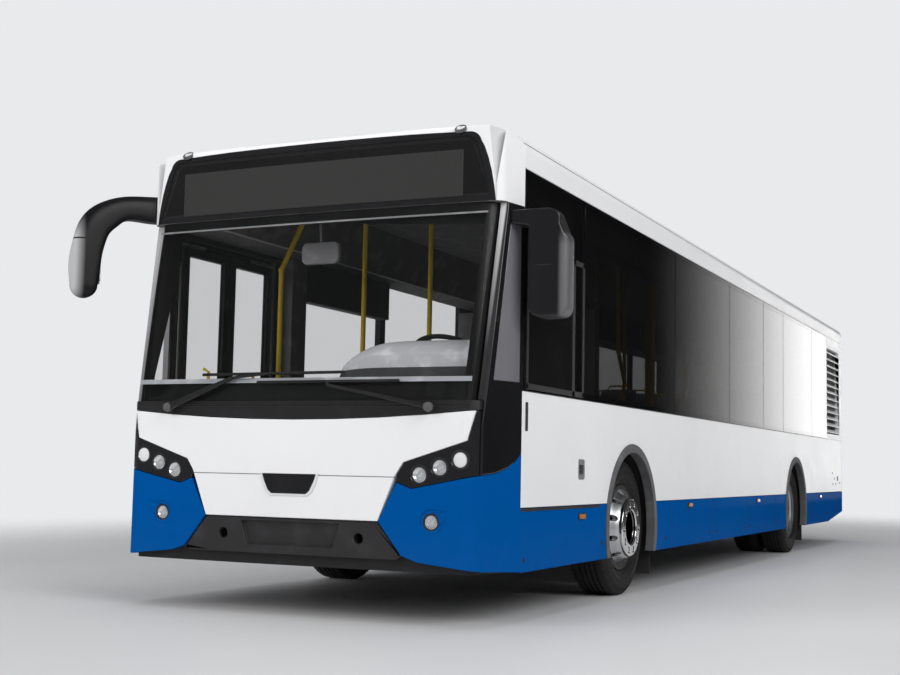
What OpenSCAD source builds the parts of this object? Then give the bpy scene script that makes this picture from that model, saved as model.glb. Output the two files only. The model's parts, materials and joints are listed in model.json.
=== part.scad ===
// City bus, low floor, two axles, drawn at full size in millimetres.
// X runs forward, Y to the left and Z up. The origin lies on the ground at
// the centre of the whole vehicle, its mirrors included.

/* [Body] */
// Width of the body without its mirrors
body_width = 2550; // [2500:10:2600]
// Height of the skirts' lower edge
skirt_z = 290; // [270:5:295]
// Height where the skirts meet the waist panels
skirt_top = 655; // [620:5:690]
// Height of the side windows' lower edge
sill_z = 1330; // [1280:5:1360]
// Height of the side windows' upper edge
glass_top = 2640; // [2600:5:2660]
// Height of the roof's edge above the cant rails
roof_edge_z = 2850; // [2830:5:2880]
// Rise of the roof from its edge to its middle
roof_crown = 35; // [20:5:50]
// Radius of the roof's long edge
cove_r = 110; // [90:5:130]
// Thickness of a side wall with its lining
wall = 60; // [54:2:70]
// Thickness of the bonded side glass
glass_t = 10; // [8:1:12]
// Width of the open joint between two panels
panel_gap = 4; // [3:1:6]
// Height of the passengers' floor
floor_z = 345; // [340:5:360]
// Thickness of the floor
floor_t = 50; // [45:5:50]
// Depth of the rear end behind the side panels
rear_depth = 254; // [240:2:280]
// Radius of the rear corners
rear_r = 180; // [150:5:200]

/* [Front] */
// Depth of the front corners ahead of the side panels
corner_depth = 455; // [430:5:480]
// How much each side is drawn in at the nose
nose_taper = 94; // [80:2:110]
// Radius of the nose's upright corners
nose_r = 110; // [100:5:130]
// Radius of the front's gentle bow
bow_r = 24000; // [18000:500:30000]
// Backward lean of the windscreen in degrees
rake = 9.3; // [8:0.1:10]
// Height where the lean begins
rake_z = 1257; // [1240:1:1270]
// Thickness of the front skins
skin_t = 50; // [44:2:54]
// Height of the dome's lower edge
dome_z = 2408; // [2390:2:2420]
// Distance of the dome's face behind the nose
dome_back = 190; // [184:2:200]
// Radius of a headlamp lens
lamp_r = 52; // [45:1:55]
// Radius of a fog lamp lens
fog_r = 47; // [40:1:52]
// Radius of a towing socket
tow_r = 30; // [22:1:36]

/* [Doors] */
// Clear width between the jambs of a doorway
door_w = 1200; // [1160:10:1240]
// Height of the door leaves' upper edge
door_top = 2330; // [2280:5:2340]
// Thickness of a door leaf
leaf_t = 40; // [36:2:44]
// Radius of a door post
post_r = 19; // [17:1:21]
// Place of the middle doorway between the axles, as a share of the wheelbase
middle_door_share = 0.5025; // [0.49:0.0005:0.51]
// Width of a jamb beside a doorway
jamb_w = 45; // [40:1:50]

/* [Running gear] */
// Distance between the axles
wheelbase = 6080; // [5900:10:6300]
// Distance of the front axle behind the nose
front_overhang = 2560; // [2520:10:2620]
// Distance of the tail behind the rear axle
rear_overhang = 3360; // [3200:10:3500]
// Outer diameter of a tyre
tyre_d = 958; // [930:1:970]
// Width of a tyre
tyre_w = 275; // [265:1:280]
// Distance of the wheels' outer faces inside the body's sides
wheel_inset = 60; // [56:1:70]
// Distance between a twin wheel's two tyres, middle to middle
twin_pitch = 310; // [304:1:320]
// Outer radius of the wheel arch trim
arch_r = 592; // [585:1:600]
// Width of the wheel arch trim
arch_trim = 60; // [50:1:62]
// Bead seat radius of a rim
rim_r = 285; // [280:1:287]
// Distance of a kingpin inside its wheel's middle plane
kingpin_offset = 110; // [100:1:116]
// Radius of a kingpin
kingpin_r = 24; // [20:1:26]
// Radius of a front spindle
spindle_r = 42; // [38:1:46]
// Radius of a rear spindle
rear_spindle_r = 60; // [54:1:66]

/* [Mirrors] */
// How far the right mirror reaches ahead of the nose
mirror_ahead = 170; // [150:5:200]
// Distance of both mirrors' outer faces outside the body's sides
mirror_out = 310; // [285:5:335]

/* [Inside] */
// Height of the ceiling
ceiling_z = 2745; // [2720:5:2755]
// Height of the rear platform over the rear axle
platform_z = 780; // [760:5:800]
// Height of the deck over the engine
deck_z = 1255; // [1230:5:1270]
// Height of the driver's platform
cab_z = 640; // [600:5:680]
// Radius of a grab pole
pole_r = 17; // [15:1:19]

/* [Hidden] */
$fn = 64;

// Main places
half = body_width / 2;
inner = half - wall;
body_length = front_overhang + wheelbase + rear_overhang;
mirror_reach = half + mirror_out;
front_x = (body_length - mirror_ahead) / 2;
rear_x = front_x - body_length;
corner_x = front_x - corner_depth;
rear_corner_x = rear_x + rear_depth;
front_axle_x = front_x - front_overhang;
rear_axle_x = front_axle_x - wheelbase;
axle_z = tyre_d / 2;
wheel_y = half - wheel_inset - tyre_w / 2;
kingpin_y = wheel_y - kingpin_offset;
floor_under = floor_z - floor_t;
// Front and rear views are drawn at this half width and stretch with the body
drawn_half = 1275;
wide = half / drawn_half;
function stretched(points) = [for (p = points) [p.x * wide, p.y]];
// Clearance between pieces that seat in one another
seat_gap = 0.5;
// Overshoot of a cutting solid
over = 20;

// Colours
white = [0.93, 0.93, 0.94];
blue = [0.02, 0.27, 0.62];
black = [0.05, 0.05, 0.055];
dark = [0.16, 0.16, 0.17];
tint = [0.12, 0.13, 0.14, 0.6];
clear_tint = [0.55, 0.6, 0.6, 0.35];
yellow = [0.85, 0.7, 0.1];
grey = [0.45, 0.46, 0.48];
steel = [0.62, 0.63, 0.65];
rubber = [0.03, 0.03, 0.03];
red = [0.6, 0.03, 0.03];

// Outlines

function arc(cx, cy, r, from, to, steps) =
  [for (i = [0:steps]) let (a = from + (to - from) * i / steps) [cx + r * cos(a), cy + r * sin(a)]];
function mirrored(points) = [for (i = [len(points) - 1:-1:0]) [points[i].x, -points[i].y]];
function box(x0, x1, z0, z1) = [[x0, z0], [x1, z0], [x1, z1], [x0, z1]];

// Plan of the nose, one half: a side drawn in by the taper, an upright corner and the bow.
// inset moves the outline inwards, back sets the bow behind the nose, r is the corner's radius.
taper = atan(nose_taper / corner_depth);
function corner_centre(back, r) =
  let (b = [front_x - back - bow_r, 0],
       n = [sin(taper), cos(taper)],
       m = n * [corner_x, half] - r - n * b)
  b + n * m + [cos(taper), -sin(taper)] * sqrt(pow(bow_r - r, 2) - m * m);
function half_nose(inset, back, r, start) =
  let (b = front_x - back - bow_r,
       c = corner_centre(back, r),
       turn = atan2(c.y, c.x - b),
       y0 = half - inset / cos(taper) - (start - corner_x) * tan(taper))
  concat([[start, y0]], arc(c.x, c.y, r - inset, 90 - taper, turn, 8),
         [for (i = [1:6]) let (a = turn * (1 - i / 6), r = bow_r - inset) [b + r * cos(a), r * sin(a)]]);
function nose(inset, back = 0, r = nose_r, start = corner_x) =
  let (h = half_nose(inset, back, r, start))
  concat(h, mirrored([for (i = [0:len(h) - 2]) h[i]]));

// Cross-section of the roof's outside from one edge of the glass to the other
crown_steps = 12;
cove_y = half - cove_r;
function crown_z(y) = roof_edge_z + roof_crown * (1 - pow(y / cove_y, 2));
function roof_outline(bottom) = concat(
  [[half, bottom]], arc(cove_y, roof_edge_z - cove_r, cove_r, 0, 90, 8),
  [for (i = [1:crown_steps - 1]) let (y = cove_y * (1 - 2 * i / crown_steps)) [y, crown_z(y)]],
  [for (p = arc(cove_y, roof_edge_z - cove_r, cove_r, 90, 0, 8)) [-p.x, p.y]], [[-half, bottom]]);

// Shapes from outlines

module front_prism(points, x0, x1) {
  translate([x0, 0, 0]) rotate([90, 0, 90]) linear_extrude(x1 - x0) polygon(points);
}
module side_prism(points, y0, y1) {
  translate([0, y1, 0]) rotate([90, 0, 0]) linear_extrude(y1 - y0) polygon(points);
}
module plan_prism(points, z0, z1) {
  translate([0, 0, z0]) linear_extrude(z1 - z0) polygon(points);
}
module both_sides() {
  children();
  mirror([0, 1, 0]) children();
}
module block(low, high) {
  translate(low) cube(high - low);
}
module across(x, y0, y1, z, r) {
  translate([x, y0, z]) rotate([-90, 0, 0]) cylinder(r = r, h = y1 - y0);
}
module along(x0, x1, y, z, r) {
  translate([x0, y, z]) rotate([0, 90, 0]) cylinder(r = r, h = x1 - x0);
}
module upright(x, y, z0, z1, r) {
  translate([x, y, z0]) cylinder(r = r, h = z1 - z0);
}
// A layer of the nose between two insets
module nose_layer(from, to, z0, z1) {
  difference() {
    plan_prism(nose(from), z0, z1);
    plan_prism(nose(to, start = corner_x - over), z0 - over, z1 + over);
  }
}
// A layer of the leaning front between two insets
module leaning_layer(from, to) {
  reach = dome_z - rake_z + 2 * over;
  translate([front_x, 0, rake_z]) rotate([0, -rake, 0]) translate([-front_x, 0, 0])
    nose_layer(from, to, -3 * over, reach);
}
// What lies behind a plane that leans with the windscreen, set back from the nose
module behind_lean(back) {
  size = body_width + 2 * over;
  translate([front_x - back, 0, rake_z]) rotate([0, -rake, 0])
    translate([-size, -size / 2, -body_width]) cube([size, size, 2 * body_width]);
}
module arch_cuts(r) {
  for (x = [front_axle_x, rear_axle_x]) across(x, -half - over, half + over, axle_z, r);
}

// Side windows

// Shares of the left panes from the front corner backwards to the engine tower: the driver's first
left_panes = [1048, 2157, 1829, 1458, 998, 1710, 1000];
tower_w = 1091;
tower_x = rear_corner_x + tower_w;
function run(widths, i) = i == 0 ? 0 : widths[i - 1] + run(widths, i - 1);
pane_scale = (corner_x - tower_x) / run(left_panes, len(left_panes));
left_edges = [for (i = [0:len(left_panes)]) corner_x - run(left_panes, i) * pane_scale];

// Doorways: each row is [front jamb, rear jamb]
front_door = [corner_x - jamb_w, corner_x - jamb_w - door_w];
middle_door_x = round(front_axle_x - middle_door_share * wheelbase);
middle_door = [middle_door_x + door_w / 2, middle_door_x - door_w / 2];
doorways = [front_door, middle_door];
function even(x0, x1, n) = [for (i = [0:n]) x0 + (x1 - x0) * i / n];
right_front_edges = even(front_door[1] - jamb_w, middle_door[0] + jamb_w, 2);
right_rear_edges = even(middle_door[1] - jamb_w, rear_corner_x, 4);
// Width of the posts' rim round each pane
post_rim = 46;

module post_frame(edges) {
  difference() {
    side_prism(box(edges[len(edges) - 1], edges[0], sill_z, glass_top), inner, half - glass_t);
    for (i = [0:len(edges) - 2])
      side_prism(box(edges[i + 1] + post_rim, edges[i] - post_rim, sill_z + post_rim, glass_top - post_rim),
                 inner - over, half + over);
  }
}
module panes(edges) {
  for (i = [0:len(edges) - 2])
    side_prism(box(edges[i + 1] + panel_gap, edges[i] - panel_gap,
                   sill_z + panel_gap, glass_top - panel_gap), half - glass_t, half);
}

module window_posts() {
  color(black) {
    post_frame(left_edges);
    mirror([0, 1, 0]) {
      post_frame(right_front_edges);
      post_frame(right_rear_edges);
    }
  }
}

// Quarter window in a front corner, seen from the side
quarter_low = sill_z + 60;
quarter_high = dome_z - 90;
function lean_x(z) = front_x - (z - rake_z) * tan(rake);
function quarter(rim) = [
  [corner_x + 45 - rim, quarter_low - rim], [lean_x(quarter_low) - 165 + rim, quarter_low - rim],
  [lean_x(quarter_high) - 165 + rim, quarter_high + rim], [corner_x + 45 - rim, quarter_high + rim]];
// Depth of the glass rebate in a corner post
quarter_rim = 14;

module quarter_layer(from, to) {
  difference() {
    plan_prism(nose(from), quarter_low - over, quarter_high + over);
    plan_prism(nose(to, start = corner_x - over), quarter_low - 2 * over, quarter_high + 2 * over);
  }
}
rear_window = stretched([[-880, 1640], [880, 1640], [820, 2380], [-820, 2380]]);
rear_window_rim = 25;
function grown(points, rim) =
  [for (p = points) [p.x + (p.x > 0 ? rim : -rim), p.y + (p.y > 2000 ? rim : -rim)]];

module side_glass() {
  color(tint) {
    panes(left_edges);
    mirror([0, 1, 0]) {
      panes(right_front_edges);
      panes(right_rear_edges);
    }
    both_sides() intersection() {
      quarter_layer(0, glass_t);
      side_prism(quarter(quarter_rim - seat_gap), 0, half + over);
    }
    intersection() {
      front_prism(grown(rear_window, rear_window_rim - seat_gap), rear_x, rear_x + glass_t);
      rear_plan();
    }
  }
}

// Side panels

module waist_panel(x0, x1) {
  difference() {
    side_prism(box(x0, x1, skirt_top + panel_gap, sill_z), inner, half);
    arch_cuts(arch_r + seat_gap);
  }
}
// Louvre in the left panel over the engine, as [x0, x1, z0, z1]
vent = [rear_corner_x + 70, tower_x - 20, sill_z + 40, glass_top - 110];

module waist_panels() {
  color(white) {
    waist_panel(rear_corner_x, corner_x);
    mirror([0, 1, 0]) {
      waist_panel(rear_corner_x, middle_door[1] - jamb_w);
      waist_panel(middle_door[0] + jamb_w, front_door[1] - jamb_w);
    }
    difference() {
      side_prism(box(rear_corner_x, tower_x - panel_gap, sill_z + seat_gap, glass_top), inner, half);
      side_prism(box(vent[0], vent[1], vent[2], vent[3]), inner - over, half + over);
    }
  }
}

// Rise of the skirts' lower edge towards the tail
tail_rise = 97;
module tail_cut() {
  x0 = rear_corner_x + 1020;
  side_prism([[x0, skirt_z], [rear_x - over, skirt_z + tail_rise * 1.25], [rear_x - over, 0], [x0, 0]],
             -half - over, half + over);
}
module skirt(x0, x1, top) {
  difference() {
    side_prism(box(x0, x1, skirt_z, top), inner, half);
    arch_cuts(arch_r + seat_gap);
    tail_cut();
  }
}
module skirts() {
  color(blue) {
    skirt(rear_corner_x, corner_x, skirt_top);
    mirror([0, 1, 0]) {
      skirt(rear_corner_x, middle_door[1] - jamb_w - panel_gap, skirt_top);
      skirt(middle_door[0] + jamb_w + panel_gap, front_door[1] - jamb_w - panel_gap, skirt_top);
      for (d = doorways) skirt(d[1] - jamb_w, d[0] + jamb_w, floor_z);
    }
  }
}
module rear_bumper() {
  color(blue) difference() {
    intersection() {
      rear_plan();
      block([rear_x, -half, skirt_z], [rear_corner_x, half, skirt_top]);
    }
    block([rear_x + wall, -inner, 0], [rear_corner_x + over, inner, skirt_top + over]);
    tail_cut();
  }
}

// Trim that stands a little proud of the side round each wheel
trim_proud = 10;
module arch_trims() {
  color(dark) both_sides() for (x = [front_axle_x, rear_axle_x]) difference() {
    across(x, inner, half + trim_proud, axle_z, arch_r);
    across(x, inner - over, half + trim_proud + over, axle_z, arch_r - arch_trim);
    block([x - arch_r - over, inner - over, -arch_r], [x + arch_r + over, half + 2 * over, skirt_z]);
  }
}

// Rear end

module rear_plan() {
  plan_prism(concat(
    arc(rear_x + rear_r, half - rear_r, rear_r, 90, 180, 8),
    arc(rear_x + rear_r, rear_r - half, rear_r, 180, 270, 8),
    [[rear_corner_x, -half], [rear_corner_x, half]]), 0, roof_edge_z + 2 * roof_crown);
}
// Engine hatch in the tail, as [half width, low, high]
hatch = [860 * wide, 690, 1500];
hatch_t = 36;
hatch_gap = 8;
hatch_top_gap = 14;
// Hinge pins stand out of the hatch's sides near its top
hinge_r = 8;
hinge_drop = 16;
hinge_pin = 22;
hinge_x = rear_x + hatch_t / 2;
hinge_z = hatch[2] - hinge_drop;
hinge_end = hatch[0] + hatch_gap + hinge_pin;
// Tail lamps, as [height, radius], one over the other
tail_rows = [[800, 52], [930, 52], [1060, 52], [1190, 42]];
tail_y = 1000 * wide;
tail_depth = 26;

module rear_end() {
  color(white) difference() {
    intersection() {
      rear_plan();
      front_prism(roof_outline(skirt_top + panel_gap), rear_x, rear_corner_x);
    }
    block([rear_x + wall, -inner, 0], [rear_corner_x + over, inner, ceiling_z]);
    front_prism(rear_window, rear_x - over, rear_x + wall + over);
    front_prism(grown(rear_window, rear_window_rim), rear_x - over, rear_x + glass_t);
    front_prism(box(-hatch[0] - hatch_gap, hatch[0] + hatch_gap,
                    hatch[1] - hatch_gap, hatch[2] + hatch_top_gap),
                rear_x - over, rear_x + wall + over);
    across(hinge_x, -hinge_end, hinge_end, hinge_z, hinge_r + seat_gap);
    both_sides() for (row = tail_rows)
      along(rear_x - over, rear_x + tail_depth, tail_y, row[0], row[1] + seat_gap);
  }
}
// Slots of the hatch, as [count, pitch, height, length]
slots = [8, 62, 32, 620 * wide];
module engine_hatch() {
  color(white) difference() {
    union() {
      front_prism(box(-hatch[0], hatch[0], hatch[1], hatch[2]), rear_x, rear_x + hatch_t);
      across(hinge_x, 1 - hinge_end, hinge_end - 1, hinge_z, hinge_r);
    }
    for (i = [0:slots[0] - 1]) for (side = [-1, 1]) {
      z = hatch[1] + 140 + slots[1] * i;
      front_prism([for (p = box(60, 60 + slots[3], z, z + slots[2])) [side * p.x, p.y]],
                  rear_x - over, rear_x + hatch_t + over);
    }
  }
}
module tail_lamps() {
  color(red) both_sides() for (row = tail_rows) along(rear_x, rear_x + tail_depth, tail_y, row[0], row[1]);
}

// Frame and slanted blades of the louvre over the engine
blade_count = 13;
module side_vent() {
  rim = 30;
  pitch = (vent[3] - vent[2] - 2 * rim) / blade_count;
  color(dark) {
    difference() {
      side_prism(box(vent[0] + seat_gap, vent[1] - seat_gap, vent[2] + seat_gap, vent[3] - seat_gap),
                 inner, half - 2);
      side_prism(box(vent[0] + rim, vent[1] - rim, vent[2] + rim, vent[3] - rim),
                 inner - over, half + over);
    }
    for (i = [0:blade_count - 1]) {
      z = vent[2] + rim + pitch * (i + 0.5);
      front_prism([[half - 6, z - 0.3 * pitch], [half - 4, z - 0.2 * pitch], [inner + 6, z + 0.3 * pitch],
                   [inner + 4, z + 0.2 * pitch]], vent[0] + rim, vent[1] - rim);
    }
  }
}

// Roof

module roof() {
  rail_y = cove_y - 115;
  color(white) intersection() {
    front_prism(roof_outline(glass_top), rear_corner_x, corner_x);
    block([rear_corner_x, -rail_y, ceiling_z], [corner_x, rail_y, roof_edge_z + 2 * roof_crown]);
  }
}
module cant_rails() {
  rail_y = cove_y - 115;
  color(white) both_sides() difference() {
    front_prism(roof_outline(glass_top), rear_corner_x, corner_x);
    block([rear_corner_x - over, -half - over, 0], [corner_x + over, rail_y, 2 * roof_edge_z]);
    front_prism([[rail_y - over, glass_top - over], [inner, glass_top - over], [inner, glass_top],
                 [rail_y + 60, ceiling_z], [rail_y - over, ceiling_z]],
                rear_corner_x - over, corner_x + over);
  }
}
// Roof unit behind the dome: [front, back] from the nose, half width and height over the ground
unit_span = [1245, 3945];
unit_half = half - 265;
unit_top = 2992;
module roof_unit() {
  x1 = front_x - unit_span[0];
  x0 = front_x - unit_span[1];
  low = roof_edge_z - roof_crown;
  color(white) difference() {
    intersection() {
      side_prism([[x0, low], [x0, low + 70], [x0 + 200, unit_top - 8], [x0 + 240, unit_top],
                  [x1 - 190, unit_top], [x1 - 150, unit_top - 8], [x1, low + 60], [x1, low]],
                 -unit_half, unit_half);
      front_prism([[unit_half, low], [unit_half, unit_top - 70], [unit_half - 40, unit_top - 18],
                   [unit_half - 110, unit_top], [110 - unit_half, unit_top],
                   [40 - unit_half, unit_top - 18], [-unit_half, unit_top - 70], [-unit_half, low]], x0, x1);
    }
    front_prism(roof_outline(low - over), x0 - over, x1 + over);
  }
}

// Dome over the windscreen with the destination display

dome_r = 70;
dome_top_r = 90;
function dome_x(inset) = front_x - dome_back - inset;
// Front view of the display: a window that narrows upwards with round upper corners
display_foot = half - 107;
display_head = half - 197;
function display(rim) = let (low = dome_z + 26, high = dome_z + 396, r = 60) concat(
  [[-display_foot - rim, low - rim], [display_foot + rim, low - rim]],
  arc(display_head - r + rim, high - r + rim, r, 12, 90, 6),
  [for (p = arc(display_head - r + rim, high - r + rim, r, 90, 12, 6)) [-p.x, p.y]]);
display_t = 12;
module dome_plan(inset, z0, z1) {
  plan_prism(nose(inset, dome_back, dome_r), z0, z1);
}
module front_dome() {
  top = roof_edge_z + roof_crown;
  color(white) difference() {
    intersection() {
      dome_plan(0, dome_z, top + over);
      front_prism(roof_outline(dome_z - over), corner_x, front_x);
      side_prism(concat([[corner_x, dome_z], [dome_x(0), dome_z]],
                        arc(dome_x(dome_top_r), top - dome_top_r, dome_top_r, 0, 90, 8), [[corner_x, top]]),
                 -half, half);
    }
    difference() {
      block([corner_x - over, -inner, dome_z - over], [front_x, inner, ceiling_z]);
      difference() {
        block([corner_x - over, -half, dome_z - 2 * over], [front_x, half, ceiling_z + over]);
        plan_prism(nose(wall, dome_back, dome_r, corner_x - 2 * over),
                   dome_z - 3 * over, ceiling_z + 2 * over);
      }
    }
    intersection() {
      front_prism(display(0), corner_x + wall, front_x);
      difference() {
        block([corner_x + wall, -half, dome_z - over], [front_x, half, top + over]);
        dome_plan(display_t, dome_z - 2 * over, top + 2 * over);
      }
    }
    front_prism(display(-30), corner_x + wall, front_x);
  }
}
module display_glass() {
  color(black) intersection() {
    difference() {
      dome_plan(2, dome_z, roof_edge_z);
      plan_prism(nose(display_t, dome_back, dome_r, corner_x - over), dome_z - over, roof_edge_z + over);
    }
    front_prism(display(-seat_gap), corner_x + wall, front_x);
  }
}

// Windscreen, its frame and the front corners

glass_low = rake_z + 4;
screen_t = 14;
frame_t = 70;
// Front view of the windscreen, wider at its top as the corners are
screen_foot = half - 139;
screen_head = half - 97;
// Width of the frame's border beside the screen
frame_rim = 46;
function screen(low, high, rim) = [
  [rim - screen_foot, low], [screen_foot - rim, low], [screen_head - rim, high], [rim - screen_head, high]];
module windscreen() {
  color(clear_tint) intersection() {
    leaning_layer(0, screen_t);
    front_prism(screen(glass_low, dome_z - panel_gap, 0), corner_x, front_x + over);
  }
}
module windscreen_frame() {
  color(black) intersection() {
    leaning_layer(screen_t, frame_t);
    difference() {
      front_prism(screen(rake_z, dome_z, 0), corner_x, front_x + over);
      front_prism(screen(glass_low + 112, dome_z - 60, frame_rim), corner_x - over, front_x + 2 * over);
    }
  }
}
// Front view of the line between the black corners and the blue bumper corners
sweep = [for (p = [[-87, 838], [-53, 852], [-29, 884], [-13, 924], [1, 978], [25, 978]]) [half + p.x, p.y]];
post_in = half - 89;
corner_t = skin_t;
module corner_posts() {
  color(black) both_sides() difference() {
    intersection() {
      plan_prism(nose(0), sweep[0][1] - over, dome_z);
      behind_lean(104);
      front_prism(concat([[post_in, sweep[0][1] + panel_gap]], [for (p = sweep) [p.x, p.y + panel_gap]],
                         [[half + over, dome_z], [post_in - 70, dome_z],
                          [post_in - 70, rake_z + 10], [post_in, rake_z]]),
                  corner_x, front_x);
    }
    plan_prism(nose(corner_t, start = corner_x - over), 0, dome_z + over);
    side_prism(quarter(0), 0, half + over);
    intersection() {
      quarter_layer(-1, glass_t);
      side_prism(quarter(quarter_rim), 0, half + over);
    }
  }
}

// Lower front

// Front views, left half: the white panel, the headlamp housing and the blue corner
white_side = stretched([[1164, 1198], [1122, 1030], [738, 906], [692, 838], [585, 572]]);
white_top_mid = 1143;
function white_top(y) = white_top_mid + (white_side[0][1] - white_top_mid) * pow(y / white_side[0][0], 2);
white_top_line = [for (i = [0:8]) let (y = white_side[0][0] * (1 - i / 4)) [y, white_top(y)]];
bumper_top = white_side[4][1];
bumper_low = 352;
bumper_foot = 735 * wide;

module front_panel() {
  color(white) intersection() {
    nose_layer(0, skin_t, bumper_top, rake_z);
    front_prism(concat(white_top_line, [for (p = white_side) [-p.x, p.y]],
                       [for (i = [4:-1:1]) white_side[i]]),
                corner_x, front_x + over);
  }
}
module cowl() {
  cowl_half = post_in - panel_gap;
  color(black) intersection() {
    nose_layer(3, skin_t, white_top_mid, rake_z - seat_gap);
    front_prism(concat([for (p = white_top_line) [p.x, p.y + panel_gap]],
                       [[-cowl_half, white_side[0][1] + panel_gap], [-cowl_half, rake_z],
                        [cowl_half, rake_z], [cowl_half, white_side[0][1] + panel_gap]]),
                corner_x, front_x + over);
  }
}
// Outline of the headlamp housing, upper side along the white panel and lower side along the blue corner
lamp_low = stretched([[1188, 838], [790, 757], [704, 790]]);
function lamp_outline() = concat(
  [for (i = [0:3]) [white_side[i].x + panel_gap, white_side[i].y - (i > 0 ? panel_gap : 0)]],
  [[lamp_low[2].x + 1, lamp_low[2].y + panel_gap], [lamp_low[1].x, lamp_low[1].y + panel_gap],
   [post_in - panel_gap, lamp_low[0].y + panel_gap], [post_in - panel_gap, white_side[0][1]]]);
// Headlamps, as [y, z] from the inner to the outer one, and the fog lamp
headlamps = stretched([[837, 838], [960, 881], [1083, 925]]);
fog = [916 * wide, 577];
lens_depth = 34;
function skin_x(y) = front_x - bow_r + sqrt(bow_r * bow_r - y * y);
module lens_seat(place, r, back) {
  along(skin_x(place[0]) - back, front_x + over, place[0], place[1], r);
}
module headlamp_housings() {
  color(black) both_sides() difference() {
    intersection() {
      nose_layer(5, skin_t, lamp_low[1].y, white_side[0][1] + over);
      front_prism(lamp_outline(), corner_x, front_x + over);
    }
    for (p = headlamps) lens_seat(p, lamp_r + seat_gap, lens_depth);
  }
}
module bumper_corners() {
  color(blue) both_sides() difference() {
    intersection() {
      nose_layer(0, skin_t, skirt_z, 1000);
      front_prism(concat([[white_side[4].x + panel_gap, bumper_top], [lamp_low[2].x - 4, lamp_low[2].y]],
                         [lamp_low[1]], sweep,
                         [[half + over, skirt_z], [half - 95, 316], [bumper_foot + 105, bumper_low],
                          [bumper_foot + panel_gap, 384]]),
                  corner_x, front_x + over);
    }
    lens_seat(fog, fog_r + seat_gap, lens_depth);
    hull() {
      lens_seat(fog, fog_r + 22, 4);
      lens_seat([fog[0] + 130, fog[1] + 62], 8, 0);
    }
  }
}
module bumper_centre() {
  recess = stretched([[-335, 548], [335, 548], [288, 412], [-288, 412]]);
  color(dark) difference() {
    intersection() {
      nose_layer(8, skin_t, bumper_low, bumper_top);
      front_prism([[-white_side[4].x, bumper_top - panel_gap], [white_side[4].x, bumper_top - panel_gap],
                   [bumper_foot, 382], [bumper_foot - 35, bumper_low + 8],
                   [35 - bumper_foot, bumper_low + 8], [-bumper_foot, 382]],
                  corner_x, front_x + over);
    }
    difference() {
      front_prism(recess, front_x - skin_t, front_x + over);
      plan_prism(nose(34), 0, rake_z);
    }
    for (y = tow_places) along(front_x - 2 * skin_t, front_x + over, y, tow_z, tow_r);
  }
}
tow_places = [-460 * wide, 460 * wide];
tow_z = 470;
module lamp_lenses() {
  color([0.85, 0.87, 0.9]) both_sides() {
    for (p = headlamps) along(skin_x(p[0]) - lens_depth, skin_x(p[0]) - 8, p[0], p[1], lamp_r);
    along(skin_x(fog[0]) - lens_depth, skin_x(fog[0]) - 6, fog[0], fog[1], fog_r);
  }
}
// Structure that carries the front skins
bulkhead_t = 40;
module front_bulkhead() {
  color(grey) difference() {
    intersection() {
      nose_layer(skin_t, skin_t + bulkhead_t, floor_under, rake_z);
      block([corner_x, -half, floor_under], [front_x, half, rake_z]);
    }
    for (y = tow_places) along(corner_x, front_x + over, y, tow_z, tow_r);
  }
}

// Wipers: each row is [pivot y, elbow y, elbow z, blade from y, blade to y, lift off the glass]
wiper_rows = [for (w = [[-871, -420, 1392, -640, 345, 24], [905, 250, 1340, -236, 700, 24]])
  [w[0] * wide, w[1] * wide, w[2], w[3] * wide, w[4] * wide, w[5]]];
wiper_pivot_z = 1216;
module in_lean() {
  translate([front_x, 0, rake_z]) rotate([0, -rake, 0]) translate([-front_x, 0, -rake_z]) children();
}
module wiper_bar(a, b, r0, r1, lift) {
  hull() {
    translate([skin_x(a[0]) + lift, a[0], a[1]]) sphere(r = r0, $fn = 16);
    translate([skin_x(b[0]) + lift, b[0], b[1]]) sphere(r = r1, $fn = 16);
  }
}
module wipers() {
  color(black) for (w = wiper_rows) {
    along(skin_x(w[0]) - 1.8, skin_x(w[0]) + w[5] + 14, w[0], wiper_pivot_z, 24);
    in_lean() {
      wiper_bar([w[0], wiper_pivot_z], [w[1], w[2]], 14, 9, w[5]);
      wiper_bar([w[1], w[2]], [(w[3] + w[4]) / 2, w[2] + 24], 9, 8, w[5]);
      wiper_bar([w[3], w[2] + 22], [w[4], w[2] + 26], 9, 9, w[5] - 2);
    }
  }
}

// Mirrors

// Right mirror: a horn on an upright plane that leaves the dome's corner, runs out and forward and
// bends down into its head.
// Each row is [distance along the plane, height over the dome's lower edge, half width].
horn_path = [[-80, 116, 88], [64, 108, 88], [247, 97, 79], [368, 34, 94], [441, -46, 99], [479, -178, 97],
             [493, -293, 97], [494, -420, 84]];
horn_root = [corner_x + 140, 35 - half];
// Middle of the head seen from above
horn_head = [front_x + mirror_ahead - 57, 57 - mirror_reach];
horn_t = 112;
horn_core = 64;
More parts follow.
